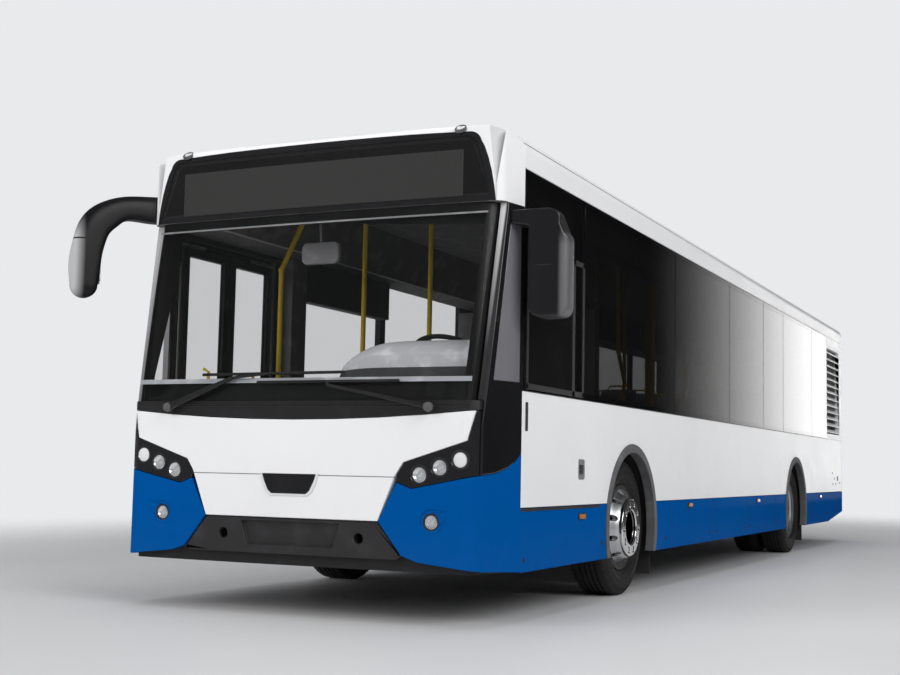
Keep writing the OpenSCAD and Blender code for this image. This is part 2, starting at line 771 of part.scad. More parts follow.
// Narrowing of the horn's two cheeks
horn_cheek = 24;
function horn_edge(i, side, cheek) =
  let (p = horn_path[i],
       run = horn_path[min(i + 1, len(horn_path) - 1)] - horn_path[max(i - 1, 0)],
       w = side * (p[2] - cheek) / norm([run.x, run.y]))
  [p.x - run.y * w, dome_z + p.y + run.x * w];
function horn(cheek) = let (n = len(horn_path) - 1, end = horn_path[n]) concat(
  [for (i = [0:n - 1]) horn_edge(i, 1, cheek)],
  arc(end.x, dome_z + end.y, end[2] - cheek, 0, -180, 10),
  [for (i = [n - 1:-1:0]) horn_edge(i, -1, cheek)]);
module mirror_right() {
  run = horn_head - horn_root;
  color(black) difference() {
    intersection() {
      translate(horn_root) rotate([0, 0, atan2(run.y, run.x)]) union() {
        side_prism(horn(0), -horn_core / 2, horn_core / 2);
        side_prism(horn(horn_cheek), -horn_t / 2, horn_t / 2);
      }
      block([corner_x, -mirror_reach, 0], [front_x + mirror_ahead, 0, 2 * dome_z]);
    }
    dome_plan(0, 0, 2 * roof_edge_z);
  }
}
// Left mirror: a short arm on the front corner, a narrow upper lobe and a wider lower one
module mirror_left() {
  low = 1742;
  high = 2376;
  x = corner_x - 45;
  lobes = concat(
    [[mirror_reach - half + 45, high - 12]], arc(130, high - 60, 60, 90, 170, 5),
    arc(62, high - 200, 62, 120, 180, 5), arc(70, low + 70, 66, 185, 270, 5),
    arc(170, low + 65, 65, 270, 355, 5), [[235, high - 105], [mirror_reach - half + 45, high - 92]]);
  plan = concat(
    [[x + 60, mirror_reach - half + 45], [x + 40, 250]], arc(x + 55, 190, 55, 150, 180, 2),
    arc(x + 62, 62, 62, 190, 270, 5), arc(x + 95, 60, 60, 270, 350, 5),
    [[x + 158, 150], [x + 185, 255], [x + 200, mirror_reach - half + 45]]);
  color(black) difference() {
    intersection() {
      front_prism([for (p = lobes) [mirror_reach - p.x, p.y]], x - over, x + 2 * half);
      plan_prism([for (p = plan) [p.x, mirror_reach - p.y]], low - over, high + over);
    }
    plan_prism(concat(nose(0), [[corner_x - 800, -half], [corner_x - 800, half]]), 0, 2 * roof_edge_z);
  }
}

// Floor, housings and inside

// Wheel housings, and the rear step that leads to the platform and the deck over the engine
housing_r = arch_r + 8;
step_ahead = 1125;
step_x = rear_axle_x + housing_r + step_ahead;
step_run = 300;
deck_x = rear_corner_x + 1080;
housing_t = 10;
housing_in = wheel_y - twin_pitch - tyre_w / 2 - 75;
// Half width of the slot that lets the rear axle through its housing
axle_slot = 120;
jack_pad = [60, 20];
jack_y = housing_in - 135;
jack_places = [[front_axle_x - 900, jack_y], [step_x + 200, jack_y]];
module housing_notches() {
  for (x = [front_axle_x, rear_axle_x]) both_sides()
    block([x - housing_r, housing_in, 0], [x + housing_r, half, axle_z + housing_r]);
}
module floor() {
  step_z = (floor_z + platform_z) / 2;
  color(grey) {
    difference() {
      union() {
        block([step_x, -inner, floor_under], [corner_x, inner, floor_z]);
        intersection() {
          plan_prism(nose(skin_t + bulkhead_t + seat_gap), floor_under, floor_z);
          block([corner_x, -half, 0], [front_x, half, floor_z]);
        }
        for (p = jack_places) both_sides()
          upright(p[0], p[1], floor_under - jack_pad[1], floor_z, jack_pad[0]);
      }
      housing_notches();
    }
    block([step_x - step_run, -inner, floor_under], [step_x - seat_gap, inner, step_z]);
    difference() {
      block([deck_x, -inner, platform_z - floor_t], [step_x - step_run - seat_gap, inner, platform_z]);
      housing_notches();
    }
    block([deck_x - floor_t, -inner, platform_z - floor_t], [deck_x - seat_gap, inner, deck_z]);
    block([rear_corner_x, -inner, deck_z - floor_t], [deck_x - floor_t - seat_gap, inner, deck_z]);
  }
}
module wheel_housings() {
  function hood(r) = concat(arc(0, axle_z, r, 0, 180, 18), [[-r, floor_under], [r, floor_under]]);
  color(dark) for (x = [front_axle_x, rear_axle_x]) both_sides() translate([x, 0, 0]) difference() {
    side_prism(hood(housing_r), housing_in, inner);
    side_prism([for (p = hood(housing_r - housing_t)) [p.x, p.y == floor_under ? 0 : p.y]],
               housing_in + housing_t, inner + over);
    if (x == rear_axle_x) block([-axle_slot, 0, 0], [axle_slot, housing_in + 2 * over, axle_z + axle_slot]);
  }
}

engine_half = inner - 735;
module engine() {
  color(steel) block([rear_x + 180, -engine_half, 420], [deck_x - 160, engine_half, deck_z - floor_t]);
}

// Seats: each row is [x of the seat's front, side, floor height].
// A seat is two places wide and hangs on the wall.
// Rows start at a place and follow at a pitch as far as there is room
function rows(start, last, pitch) = [for (i = [0:floor((start - last) / pitch)]) start - i * pitch];
// Distance of the first row behind the front axle, and of the row behind the doorway's jamb ahead of it
first_row_back = 1175;
jamb_row = 535;
first_row = front_axle_x - first_row_back;
left_rows = rows(first_row, step_x + 780, 800);
door_row = middle_door[0] + jamb_w + jamb_row;
right_rows = [for (x = rows(first_row, door_row, 700)) door_row + first_row - x];
rear_rows = rows(step_x - step_run - 120, deck_x + 900, 810);
seat_rows = concat(
  [for (x = left_rows) [x, 1, floor_z]],
  [for (x = right_rows) [x, -1, floor_z]],
  [for (x = rear_rows, side = [-1, 1]) [x, side, platform_z]]);
seat_aisle = 345;
// Side view of a seat from the front of its cushion
seat_profile = [[0, 395], [18, 425], [10, 452], [-40, 462], [-360, 438], [-400, 470], [-470, 1000],
                [-492, 1022], [-520, 1012], [-462, 440], [-430, 392], [-380, 382]];
module seat(x, z, y0, y1) {
  side_prism([for (p = seat_profile) [x + p.x, z + p.y]], y0, y1);
}
module seats() {
  color([0.1, 0.16, 0.32]) {
    for (s = seat_rows) if (s[1] > 0) seat(s[0], s[2], seat_aisle, inner);
      else mirror([0, 1, 0]) seat(s[0], s[2], seat_aisle, inner);
    seat(deck_x - 20, deck_z - 382, -inner + 90, tower_in - 60);
    seat(driver_x, cab_z + 120, driver_y - 250, driver_y + 250);
    block([driver_x - 340, driver_y - 160, cab_z], [driver_x - 90, driver_y + 160, cab_z + 520]);
  }
}
tower_in = inner - 595;
driver_x = corner_x - 700;
driver_y = inner - 525;

// Driver's platform with the partition behind it
cab_in = driver_y - 510;
cab_t = 40;
cab_x = front_axle_x + housing_r + 20;
module driver_cab() {
  color(dark) {
    difference() {
      block([cab_x, cab_in, floor_z], [corner_x, inner, cab_z]);
      block([cab_x + cab_t, cab_in + cab_t, floor_z - over],
            [corner_x - cab_t, inner - cab_t, cab_z - cab_t]);
    }
    block([cab_x, cab_in, cab_z - 1], [cab_x + cab_t, inner, 1980]);
  }
}

// Grab poles: each row is [x, y, floor height]
pole_y = 322;
// Distance of a pole ahead of its seat
pole_ahead = 30;
poles = concat(
  [[corner_x - 960, -pole_y, floor_z], [cab_x + 380, cab_in - 60, floor_z],
   [right_rows[len(right_rows) - 1] + pole_ahead, -pole_y, floor_z],
   [middle_door[0] + 100, -pole_y, floor_z]],
  [for (i = [1:len(left_rows) - 1]) [left_rows[i] + pole_ahead, pole_y, floor_z]],
  [for (i = [1:len(rear_rows) - 1])
    [rear_rows[i] + pole_ahead, i % 2 == 0 ? pole_y : -pole_y, platform_z]]);
// Entrance pole: it leans in to the ceiling above its bend
entrance = [corner_x - 560, 465 - inner, 2207];
entrance_top_y = entrance.y + 270;
module grab_poles() {
  rise = ceiling_z - entrance[2];
  lean = atan2(entrance_top_y - entrance[1], rise);
  color(yellow) {
    for (p = poles) upright(p[0], p[1], p[2], ceiling_z, pole_r);
    upright(entrance[0], entrance[1], floor_z, entrance[2], pole_r);
    intersection() {
      union() {
        translate(entrance) sphere(r = pole_r + 5);
        translate(entrance) rotate([-lean, 0, 0]) cylinder(r = pole_r, h = 2 * rise);
      }
      block([entrance[0] - 2 * over, -half, entrance[2] - 2 * over],
            [entrance[0] + 2 * over, half, ceiling_z]);
    }
  }
}

// Driver's desk with its hood, seen from the side
desk = [[0, 560], [0, 1250], [-100, 1400], [-270, 1420], [-370, 1400], [-440, 1330], [-460, 1180],
        [-340, 1080], [-290, 560]];
desk_x = front_x - skin_t - bulkhead_t;
desk_low = 680;
// Hood over the instruments and knee room below, as [distance behind the desk's front, height, radius]
desk_hood = [275, 1330, 270];
desk_knee = [470, 1230, 190];
desk_in = driver_y - 490;
desk_out = inner - 135;
module desk_solid() {
  difference() {
    intersection() {
      union() {
        side_prism([for (p = desk) [desk_x + p.x, p.y]], desk_in, desk_out);
        across(desk_x - desk_hood[0], desk_in + 100, desk_out - 20, desk_hood[1], desk_hood[2]);
      }
      plan_prism(nose(skin_t + bulkhead_t), desk_low, 2 * roof_edge_z);
      behind_lean(130);
    }
    across(desk_x - desk_knee[0], 0, half, desk_knee[1], desk_knee[2]);
  }
}
module dashboard() {
  color(dark) {
    desk_solid();
    intersection() {
      block([desk_x - 260, 215 - inner, 1060], [desk_x + 200, desk_in - 1, 1110]);
      plan_prism(nose(skin_t + bulkhead_t), desk_low, rake_z);
    }
  }
}

// Steering wheel on its column
wheel_rim_r = 225;
module steering_wheel() {
  color(black) difference() {
    translate([corner_x - 250, driver_y, 1560]) rotate([0, -28, 0]) {
      rotate_extrude() translate([wheel_rim_r, 0]) circle(r = 15);
      cylinder(r1 = 60, r2 = 50, h = 28);
      for (a = [90, 210, 330]) rotate([0, 0, a]) block([40, -16, 2], [wheel_rim_r - 6, 16, 16]);
      translate([0, 0, -620]) cylinder(r = 34, h = 624);
    }
    desk_solid();
    block([desk_x - 460, 0, 0], [front_x, half, 1100]);
  }
}

// Running gear

beam_half = 62;
eye_half = 55;
ear_t = 52;
ear_r = 54;
beam_low = 205;
module front_axle() {
  low = beam_low;
  color(dark) {
    both_sides() {
      upright(front_axle_x, kingpin_y, axle_z - eye_half - ear_t, axle_z + eye_half + ear_t, kingpin_r);
      upright(front_axle_x, kingpin_y, axle_z - eye_half, axle_z + eye_half, kingpin_r + 16);
      front_prism([[kingpin_y, axle_z - 42], [kingpin_y, axle_z + 42], [kingpin_y - 130, axle_z + 36],
                   [kingpin_y - 330, low + 84], [0, low + 84], [0, low], [kingpin_y - 300, low],
                   [kingpin_y - 150, axle_z - 46]], front_axle_x - 30, front_axle_x + 30);
    }
    block([front_axle_x - beam_half, 60 - housing_in, low + 10],
          [front_axle_x + beam_half, housing_in - 60, low + 74]);
  }
}
module knuckle() {
  x = front_axle_x;
  top = axle_z + eye_half + 1;
  low = axle_z - eye_half - 1;
  web_y = kingpin_y + kingpin_r + 26;
  color(steel) difference() {
    union() {
      for (z = [[top, top + ear_t], [low - ear_t, low]]) {
        upright(x, kingpin_y, z[0], z[1], ear_r);
        block([x - ear_r, kingpin_y, z[0]], [x + ear_r, web_y + 26, z[1]]);
      }
      block([x - ear_r, web_y, low - ear_t], [x + ear_r, web_y + 26, top + ear_t]);
      across(x, web_y + 20, wheel_y + 90, axle_z, spindle_r);
    }
    upright(x, kingpin_y, low - 2 * ear_t, top + 2 * ear_t, kingpin_r + seat_gap);
  }
}
// End of the rear axle's wide tube, and the place of its springs
tube_end = wheel_y - twin_pitch - tyre_w / 2 - 40;
spring_y = tube_end - 150;
module rear_axle() {
  color(dark) {
    across(rear_axle_x, -tube_end, tube_end, axle_z, 85);
    translate([rear_axle_x, 0, axle_z]) sphere(r = 200);
    across(rear_axle_x, -wheel_y - 70, wheel_y + 70, axle_z, rear_spindle_r);
    both_sides() block([rear_axle_x - 420, spring_y - 50, axle_z - 150],
                       [rear_axle_x + 420, spring_y + 50, axle_z - 60]);
  }
}
// Air springs: each row is [x, y, foot, top, radius]
springs = [[rear_axle_x - 340, spring_y, axle_z - 60, platform_z - floor_t, 98],
           [rear_axle_x + 340, spring_y, axle_z - 60, platform_z - floor_t, 98],
           [front_axle_x, jack_y, beam_low + 84, floor_under, 70]];
module air_springs() {
  color(rubber) both_sides() for (s = springs) {
    h = s[3] - s[2];
    translate([s[0], s[1], s[2]]) rotate_extrude() polygon([
      [0, 0], [0.6 * s[4], 0], [0.6 * s[4], 0.25 * h], [s[4], 0.36 * h], [s[4], 0.56 * h],
      [0.86 * s[4], 0.62 * h], [s[4], 0.68 * h], [s[4], 0.88 * h], [0.8 * s[4], h], [0, h]]);
  }
}
module mud_flaps() {
  color(rubber) both_sides() for (x = [front_axle_x, rear_axle_x])
    block([x - housing_r - 34, inner - 330, 110], [x - housing_r - 26, inner, floor_under]);
}

// Tyre in section: half the outline from bead to tread, as [radius, distance from the middle plane]
function tyre_half() = let (r = tyre_d / 2, w = tyre_w / 2) [
  [rim_r + seat_gap, 96], [rim_r + 20, 97], [rim_r + 34, 116], [rim_r + 62, w - 8], [rim_r + 88, w],
  [rim_r + 118, w - 1], [r - 40, w - 10], [r - 20, w - 17], [r - 6, w - 28], [r, w - 44]];
module tyre(y) {
  h = tyre_half();
  color(rubber) translate([0, y, axle_z]) rotate([90, 0, 0]) rotate_extrude()
    polygon(concat(h, [for (i = [len(h) - 1:-1:0]) [h[i].x, -h[i].y]]));
}
// Rim in section about its middle plane: well, flanges and the disc at the given offset outwards
rim_section = [[rim_r - 26, -70], [rim_r - 14, -84], [rim_r - 14, -112], [rim_r + 16, -112],
               [rim_r + 16, -99], [rim_r, -97], [rim_r, -80], [rim_r - 12, -64],
               [rim_r - 12, 64], [rim_r, 80], [rim_r, 97], [rim_r + 16, 99], [rim_r + 16, 112], 
               [rim_r - 14, 112], [rim_r - 14, 84], [rim_r - 26, 70]];
hand_holes = 10;
module revolve_y(section) {
  rotate([-90, 0, 0]) rotate_extrude() polygon(section);
}
// Front wheel: its disc is dished outwards to a flat ring that holds the nuts
wheel_face = 165;
nut_circle = 163;
nut_count = 10;
ring_out = 205;
ring_in = 120;
ring_h = 26;
module rim_front() {
  bore = spindle_r + seat_gap;
  color(steel) translate([0, wheel_y, axle_z]) difference() {
    union() {
      revolve_y(rim_section);
      revolve_y([[rim_r - 20, 58], [rim_r - 20, 72], [rim_r - 44, 100], [ring_out + 12, wheel_face - 12],
                 [ring_out + 2, wheel_face], [ring_in - 2, wheel_face], [ring_in - 2, wheel_face - 16],
                 [ring_out - 8, wheel_face - 16], [rim_r - 58, 88], [rim_r - 34, 58]]);
      revolve_y([[bore, 12], [100, 12], [ring_in + 4, wheel_face - 15], [ring_in + 4, wheel_face - 8],
                 [ring_in - 2, wheel_face - 8], [ring_in - 10, wheel_face - 22], [90, 96], [bore, 96]]);
      revolve_y([[0, 95], [84, 95], [84, 116], [72, 126], [0, 126]]);
      difference() {
        revolve_y([[ring_in + 2, wheel_face - 1], [ring_out, wheel_face - 1],
                   [ring_out - 2, wheel_face + ring_h - 5], [ring_out - 8, wheel_face + ring_h],
                   [ring_in + 8, wheel_face + ring_h], [ring_in + 2, wheel_face + ring_h - 6]]);
        for (i = [0:nut_count - 1]) rotate([0, 360 / nut_count * i, 0])
          translate([nut_circle, wheel_face, 0]) rotate([-90, 0, 0]) cylinder(r = 25, h = 2 * ring_h);
      }
      for (i = [0:nut_count - 1]) rotate([0, 360 / nut_count * i, 0])
        translate([nut_circle, wheel_face - 1, 0]) rotate([-90, 0, 0])
          cylinder(r = 18, h = ring_h - 4, $fn = 6);
    }
    for (i = [0:hand_holes - 1]) rotate([0, 360 / hand_holes * (i + 0.5), 0])
      translate([rim_r - 52, 40, 0]) rotate([-90, 0, 0]) cylinder(r = 20, h = wheel_face);
  }
}
// Section of a twin wheel's disc, from the rim's well to the hub's joint plane
function twin_disc(joint) = [
  [rim_r - 20, -56], [rim_r - 20, -76], [rim_r - 55, joint + 24], [176, joint - 1],
  [rear_spindle_r + seat_gap, joint - 1], [rear_spindle_r + seat_gap, joint + 16],
  [170, joint + 16], [rim_r - 67, joint + 39], [rim_r - 39, -70], [rim_r - 35, -56]];
// Twin wheel: the outer disc is dished inwards and both rims share one hub
module rims_rear() {
  joint = -twin_pitch / 2;
  hub_r = 138;
  color(steel) translate([0, wheel_y, axle_z]) union() {
    revolve_y(rim_section);
    revolve_y([for (p = rim_section) [p.x, p.y - twin_pitch]]);
    revolve_y(twin_disc(joint));
    revolve_y([for (p = twin_disc(joint)) [p.x, 2 * joint - p.y]]);
    revolve_y([[rear_spindle_r + seat_gap, joint - 90], [120, joint - 90], [120, joint + 20],
               [104, joint + 120], [80, joint + 190], [rear_spindle_r + seat_gap, joint + 190]]);
    for (i = [0:nut_count - 1]) rotate([0, 360 / nut_count * i, 0])
      translate([hub_r + 30, joint + 15, 0]) rotate([-90, 0, 0]) cylinder(r = 17, h = 26, $fn = 6);
  }
}
module place_front(side) {
  translate([front_axle_x, 0, 0]) mirror([0, side > 0 ? 0 : 1, 0]) children();
}
module place_rear(side) {
  translate([rear_axle_x, 0, 0]) mirror([0, side > 0 ? 0 : 1, 0]) children();
}
module twin_tyres() {
  tyre(wheel_y);
  tyre(wheel_y - twin_pitch);
}

// Doors: a leaf is carried at its middle by two arms of a turning post,
// and its leading edge follows the doorway

// Distance of a post inside its jamb, and of the leaf's edges from the post and the doorway's middle
post_back = 30;
leaf_clear = 34;
leaf_meet = 7;
lead = 20;
arm_r = (door_w / 2 - post_back - leaf_meet - lead) / 2;
door_y = -half + 8 + leaf_t / 2;
leaf_low = floor_z + 46;
leaf_rim = 62;
arm_t = 16;
arm_gap = 6;
pivot_r = 10;
module door_portals() {
  color(black) for (d = doorways) difference() {
    block([d[1] - jamb_w, -half, floor_z], [d[0] + jamb_w, -inner, glass_top]);
    block([d[1], -half - over, 0], [d[0], -inner + over, door_top + 40]);
  }
}
// side is 1 for the leaf whose post stands at the rear jamb, -1 for the one at the front jamb
module at_post(d, side) {
  translate([side > 0 ? d[1] + post_back : d[0] - post_back, door_y, 0])
    mirror([side > 0 ? 0 : 1, 0, 0]) children();
}
module door_post() {
  color(steel) {
    upright(0, 0, floor_z, door_top + 40, post_r);
    for (z = [leaf_low - arm_gap - arm_t, door_top + arm_gap]) difference() {
      union() {
        block([0, -16, z], [arm_r, 16, z + arm_t]);
        upright(arm_r, 0, z, z + arm_t, 16);
      }
      upright(arm_r, 0, z - over, z + arm_t + over, pivot_r + seat_gap);
    }
  }
}
function leaf_box(rim) = box(leaf_clear + rim, 2 * arm_r + lead - rim, leaf_low + rim, door_top - rim);
module door_leaf() {
  color(black) {
    difference() {
      side_prism(leaf_box(0), -leaf_t / 2, leaf_t / 2);
      side_prism(leaf_box(leaf_rim), -leaf_t, leaf_t);
    }
    for (z = [[leaf_low - arm_gap - arm_t, leaf_low + 10], [door_top - 10, door_top + arm_gap + arm_t]])
      upright(arm_r, 0, z[0], z[1], pivot_r);
    side_prism(leaf_box(leaf_rim - 1), -6, 2);
  }
}

floor();
wheel_housings();
front_bulkhead();
waist_panels();
skirts();
window_posts();
door_portals();
side_glass();
arch_trims();
roof();
cant_rails();
roof_unit();
front_dome();
display_glass();
windscreen_frame();
windscreen();
corner_posts();
cowl();
front_panel();
bumper_corners();
bumper_centre();
headlamp_housings();
lamp_lenses();
wipers();
mirror_left();
mirror_right();
rear_end();
rear_bumper();
tail_lamps();
side_vent();
engine_hatch();
engine();
dashboard();
steering_wheel();
driver_cab();
seats();
grab_poles();
front_axle();
rear_axle();
air_springs();
mud_flaps();
knuckle();  // knuckle_left
mirror([0, 1, 0]) knuckle();  // knuckle_right
place_front(1) tyre(wheel_y);  // tyre_front_left
place_front(-1) tyre(wheel_y);  // tyre_front_right
place_rear(1) twin_tyres();  // tyres_rear_left
place_rear(-1) twin_tyres();  // tyres_rear_right
place_front(1) rim_front();  // rim_front_left
place_front(-1) rim_front();  // rim_front_right
place_rear(1) rims_rear();  // rims_rear_left
place_rear(-1) rims_rear();  // rims_rear_right
at_post(front_door, -1) door_post();  // door_post_front_a
at_post(front_door, 1) door_post();  // door_post_front_b
at_post(middle_door, -1) door_post();  // door_post_middle_a
at_post(middle_door, 1) door_post();  // door_post_middle_b
at_post(front_door, -1) door_leaf();  // door_leaf_front_a
at_post(front_door, 1) door_leaf();  // door_leaf_front_b
at_post(middle_door, -1) door_leaf();  // door_leaf_middle_a
at_post(middle_door, 1) door_leaf();  // door_leaf_middle_b
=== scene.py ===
"""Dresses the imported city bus: its paint, glass, lamps, wheels, seats and trim, and the studio it stands in."""

import json
import math

import bmesh
import bpy
from bpy.props import FloatProperty, FloatVectorProperty, IntProperty, PointerProperty
from mathutils import Matrix, Vector
from mathutils.bvhtree import BVHTree

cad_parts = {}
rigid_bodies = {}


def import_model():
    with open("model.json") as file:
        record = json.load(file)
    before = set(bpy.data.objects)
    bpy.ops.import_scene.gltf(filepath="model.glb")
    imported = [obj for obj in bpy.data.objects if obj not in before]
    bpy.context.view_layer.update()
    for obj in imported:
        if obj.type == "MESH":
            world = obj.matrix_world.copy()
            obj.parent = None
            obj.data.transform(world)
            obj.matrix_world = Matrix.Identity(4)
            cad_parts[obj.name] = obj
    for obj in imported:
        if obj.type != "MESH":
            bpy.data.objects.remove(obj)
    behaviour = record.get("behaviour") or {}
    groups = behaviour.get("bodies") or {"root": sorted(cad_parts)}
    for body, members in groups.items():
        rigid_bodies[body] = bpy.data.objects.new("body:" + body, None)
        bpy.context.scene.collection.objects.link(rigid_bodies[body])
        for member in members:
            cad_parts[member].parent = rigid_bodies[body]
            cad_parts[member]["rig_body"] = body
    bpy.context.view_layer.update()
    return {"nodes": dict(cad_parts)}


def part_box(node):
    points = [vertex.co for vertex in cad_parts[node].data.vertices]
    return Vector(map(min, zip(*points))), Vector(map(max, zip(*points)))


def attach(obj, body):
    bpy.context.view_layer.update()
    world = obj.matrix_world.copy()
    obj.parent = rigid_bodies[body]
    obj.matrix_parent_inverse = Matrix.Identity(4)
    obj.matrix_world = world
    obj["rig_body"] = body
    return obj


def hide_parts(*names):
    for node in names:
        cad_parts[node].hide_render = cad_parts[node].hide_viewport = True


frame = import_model()
NODES = frame["nodes"]

bl_info = {
    "name": "City Bus Dressing",
    "version": (1, 0, 0),
    "blender": (4, 5, 0),
    "location": "View3D > Sidebar > City Bus",
    "description": "Builds the finish and the small pieces of a low-floor city bus on its packed solids",
    "category": "Object",
}

# Places read from the frame, in metres
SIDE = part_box("waist_panels")[1].y
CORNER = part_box("waist_panels")[1].x
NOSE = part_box("front_panel")[1].x
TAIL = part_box("rear_end")[0].x
SKIRT_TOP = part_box("skirts")[1].z
SKIRT_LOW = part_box("skirts")[0].z
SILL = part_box("window_posts")[0].z
GLASS_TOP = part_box("window_posts")[1].z
DOME_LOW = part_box("front_dome")[0].z
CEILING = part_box("roof")[0].z
SEAT_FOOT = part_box("seats")[0].z
DOME_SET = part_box("front_dome")[1].x - NOSE
# Rear and front edge of each doorway
DOORWAYS = ((4.215, 5.415), (-0.300, 0.900))
# Upright plane of the right mirror's horn: where it leaves the dome and the way it runs
HORN_ROOT = Vector((CORNER + 0.14, 0.035 - SIDE, 0))
HORN_RUN = Vector((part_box("mirror_right")[1].x - 0.057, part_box("mirror_right")[0].y + 0.057, 0)) - HORN_ROOT
HORN_RUN.normalize()


# Settings

class BusColours(bpy.types.PropertyGroup):
    """Colours of the finishes."""

    white: FloatVectorProperty(
        name="White", description="Paint of the upper body", subtype="COLOR", size=4, min=0, max=1,
        default=(0.82, 0.82, 0.825, 1))
    blue: FloatVectorProperty(
        name="Blue", description="Paint of the skirts and bumper corners", subtype="COLOR", size=4, min=0, max=1,
        default=(0.0005, 0.078, 0.305, 1))
    gloss_black: FloatVectorProperty(
        name="Gloss black", description="Front corners and display", subtype="COLOR", size=4, min=0, max=1,
        default=(0.010, 0.010, 0.011, 1))
    moulding: FloatVectorProperty(
        name="Moulding", description="Black moulded plastic", subtype="COLOR", size=4, min=0, max=1,
        default=(0.014, 0.014, 0.015, 1))
    dash: FloatVectorProperty(
        name="Dash", description="Soft grey plastic of the driver's desk", subtype="COLOR", size=4, min=0, max=1,
        default=(0.52, 0.53, 0.545, 1))
    pole: FloatVectorProperty(
        name="Pole", description="Powder coat of the grab poles", subtype="COLOR", size=4, min=0, max=1,
        default=(0.78, 0.53, 0.02, 1))
    seat_cloth: FloatVectorProperty(
        name="Seat cloth", description="Ground colour of the seat covers", subtype="COLOR", size=4, min=0, max=1,
        default=(0.16, 0.19, 0.24, 1))
    amber: FloatVectorProperty(
        name="Amber", description="Side marker lamps", subtype="COLOR", size=4, min=0, max=1,
        default=(0.75, 0.24, 0.01, 1))


class BusSizes(bpy.types.PropertyGroup):
    """Sizes of the small work."""

    panel_edge: FloatProperty(
        name="Panel edge", description="Rounding of a body panel's edges", unit="LENGTH", min=0, default=0.003)
    moulding_edge: FloatProperty(
        name="Moulding edge", description="Rounding of a moulded piece's edges", unit="LENGTH", min=0, default=0.008)
    nose_bow: FloatProperty(
        name="Nose bow", description="Radius of the front's gentle bow", unit="LENGTH", min=1, default=24.0)
    lean: FloatProperty(
        name="Lean", description="Backward lean of the windscreen", subtype="ANGLE", default=math.radians(9.3))
    lean_start: FloatProperty(
        name="Lean start", description="Height where the lean begins", unit="LENGTH", default=1.257)
    tread_depth: FloatProperty(
        name="Tread depth", description="Depth of the tyres' grooves", unit="LENGTH", min=0, default=0.013)
    tread_grooves: IntProperty(
        name="Tread grooves", description="Grooves round each tyre", min=1, max=8, default=4)
    shoulder_blocks: IntProperty(
        name="Shoulder blocks", description="Blocks round each shoulder of a tyre", min=12, max=120, default=64)
    seat_crown: FloatProperty(
        name="Seat crown", description="Rise of a cushion in its middle", unit="LENGTH", min=0, default=0.022)
    joint_line: FloatProperty(
        name="Joint line", description="Width of a dark joint between two flaps", unit="LENGTH", min=0, default=0.005)


class BusStudio(bpy.types.PropertyGroup):
    """Camera and light."""

    eye: FloatVectorProperty(
        name="Eye", description="Place of the camera", subtype="XYZ", unit="LENGTH", default=(12.5643, 4.1807, 0.887))
    yaw: FloatProperty(
        name="Yaw", description="Heading of the camera", subtype="ANGLE", default=math.radians(205.243))
    pitch: FloatProperty(
        name="Pitch", description="Upward tilt of the camera", subtype="ANGLE", default=math.radians(5.393))
    roll: FloatProperty(
        name="Roll", description="Turn of the camera about its axis", subtype="ANGLE", default=math.radians(1.1205))
    lens: FloatProperty(
        name="Lens", description="Focal length on a 36 mm sensor, in millimetres", min=10, default=53.157)
    floor_tone: FloatVectorProperty(
        name="Floor", description="Colour of the studio floor", subtype="COLOR", size=4, min=0, max=1,
        default=(0.66, 0.66, 0.665, 1))
    key_power: FloatProperty(
        name="Key", description="Power of the soft light over the left front", subtype="POWER", default=1030)
    top_power: FloatProperty(
        name="Top", description="Power of the soft light over the roof", subtype="POWER", default=500)
    fill_power: FloatProperty(
        name="Fill", description="Power of the soft light ahead", subtype="POWER", default=715)


def colours():
    """The colour settings of this scene."""
    return bpy.context.scene.bus_colours


def sizes():
    """The size settings of this scene."""
    return bpy.context.scene.bus_sizes


def nose_x(y):
    """Where the bowed front skin stands at a distance from the middle plane."""
    bow = sizes().nose_bow
    return NOSE - bow + math.sqrt(bow * bow - y * y)


def screen_point(y, z, depth=0.0):
    """A point on the leaning windscreen, set back by a depth."""
    s = sizes()
    return Vector((nose_x(y) - (z - s.lean_start) * math.tan(s.lean) - depth, y, z))


def dome_point(tree, y, z, proud=0.0):
    """A point on the dome's front skin, or on its front plane where the display opens it."""
    front = nose_x(y) + DOME_SET
    hit = tree.ray_cast(Vector((NOSE + 1, y, z)), Vector((-1, 0, 0)))[0]
    opened = hit is None or hit.x < front - 0.0115 and z < 2.81 and abs(y) < 1.17
    return Vector(((front if opened else hit.x) + proud, y, z))


def dome_tree():
    """The dome's surface, to lay pieces on."""
    bm = bmesh.new()
    bm.from_mesh(NODES["front_dome"].data)
    tree = BVHTree.FromBMesh(bm)
    bm.free()
    return tree


def display_edge(side, head, low, high, r, crown):
    """Outline of the display from points of its side, with round top corners and a crowned top, as (y, z)."""
    half = []
    for (y0, z0), (y1, z1) in zip(side, side[1:]):
        half += [(y0 + (y1 - y0) * k / 3, z0 + (z1 - z0) * k / 3) for k in range(3)]
    half.append(side[-1])
    for k in range(7):
        a = math.radians(12 + 13 * k)
        y = head - r + r * math.cos(a)
        half.append((y, high - r + r * math.sin(a) - crown * y * y))
    half += [(y, high - crown * y * y) for y in ((head - r) * (1 - k / 8) for k in range(1, 8))]
    other = [(-y, z) for y, z in reversed(half)]
    foot = [side[0][0] * k for k in (-0.99, -0.98, -0.97, -0.95, -0.9, -0.8, -0.6, -0.4, -0.2)]
    return half + [(0.0, high)] + other + [(y, low) for y in foot + [0.0] + [-y for y in reversed(foot)]]


def shade(colour, factor):
    """A colour made lighter or darker."""
    return (*(min(1.0, c * factor) for c in colour[:3]), 1.0)


# Finishes

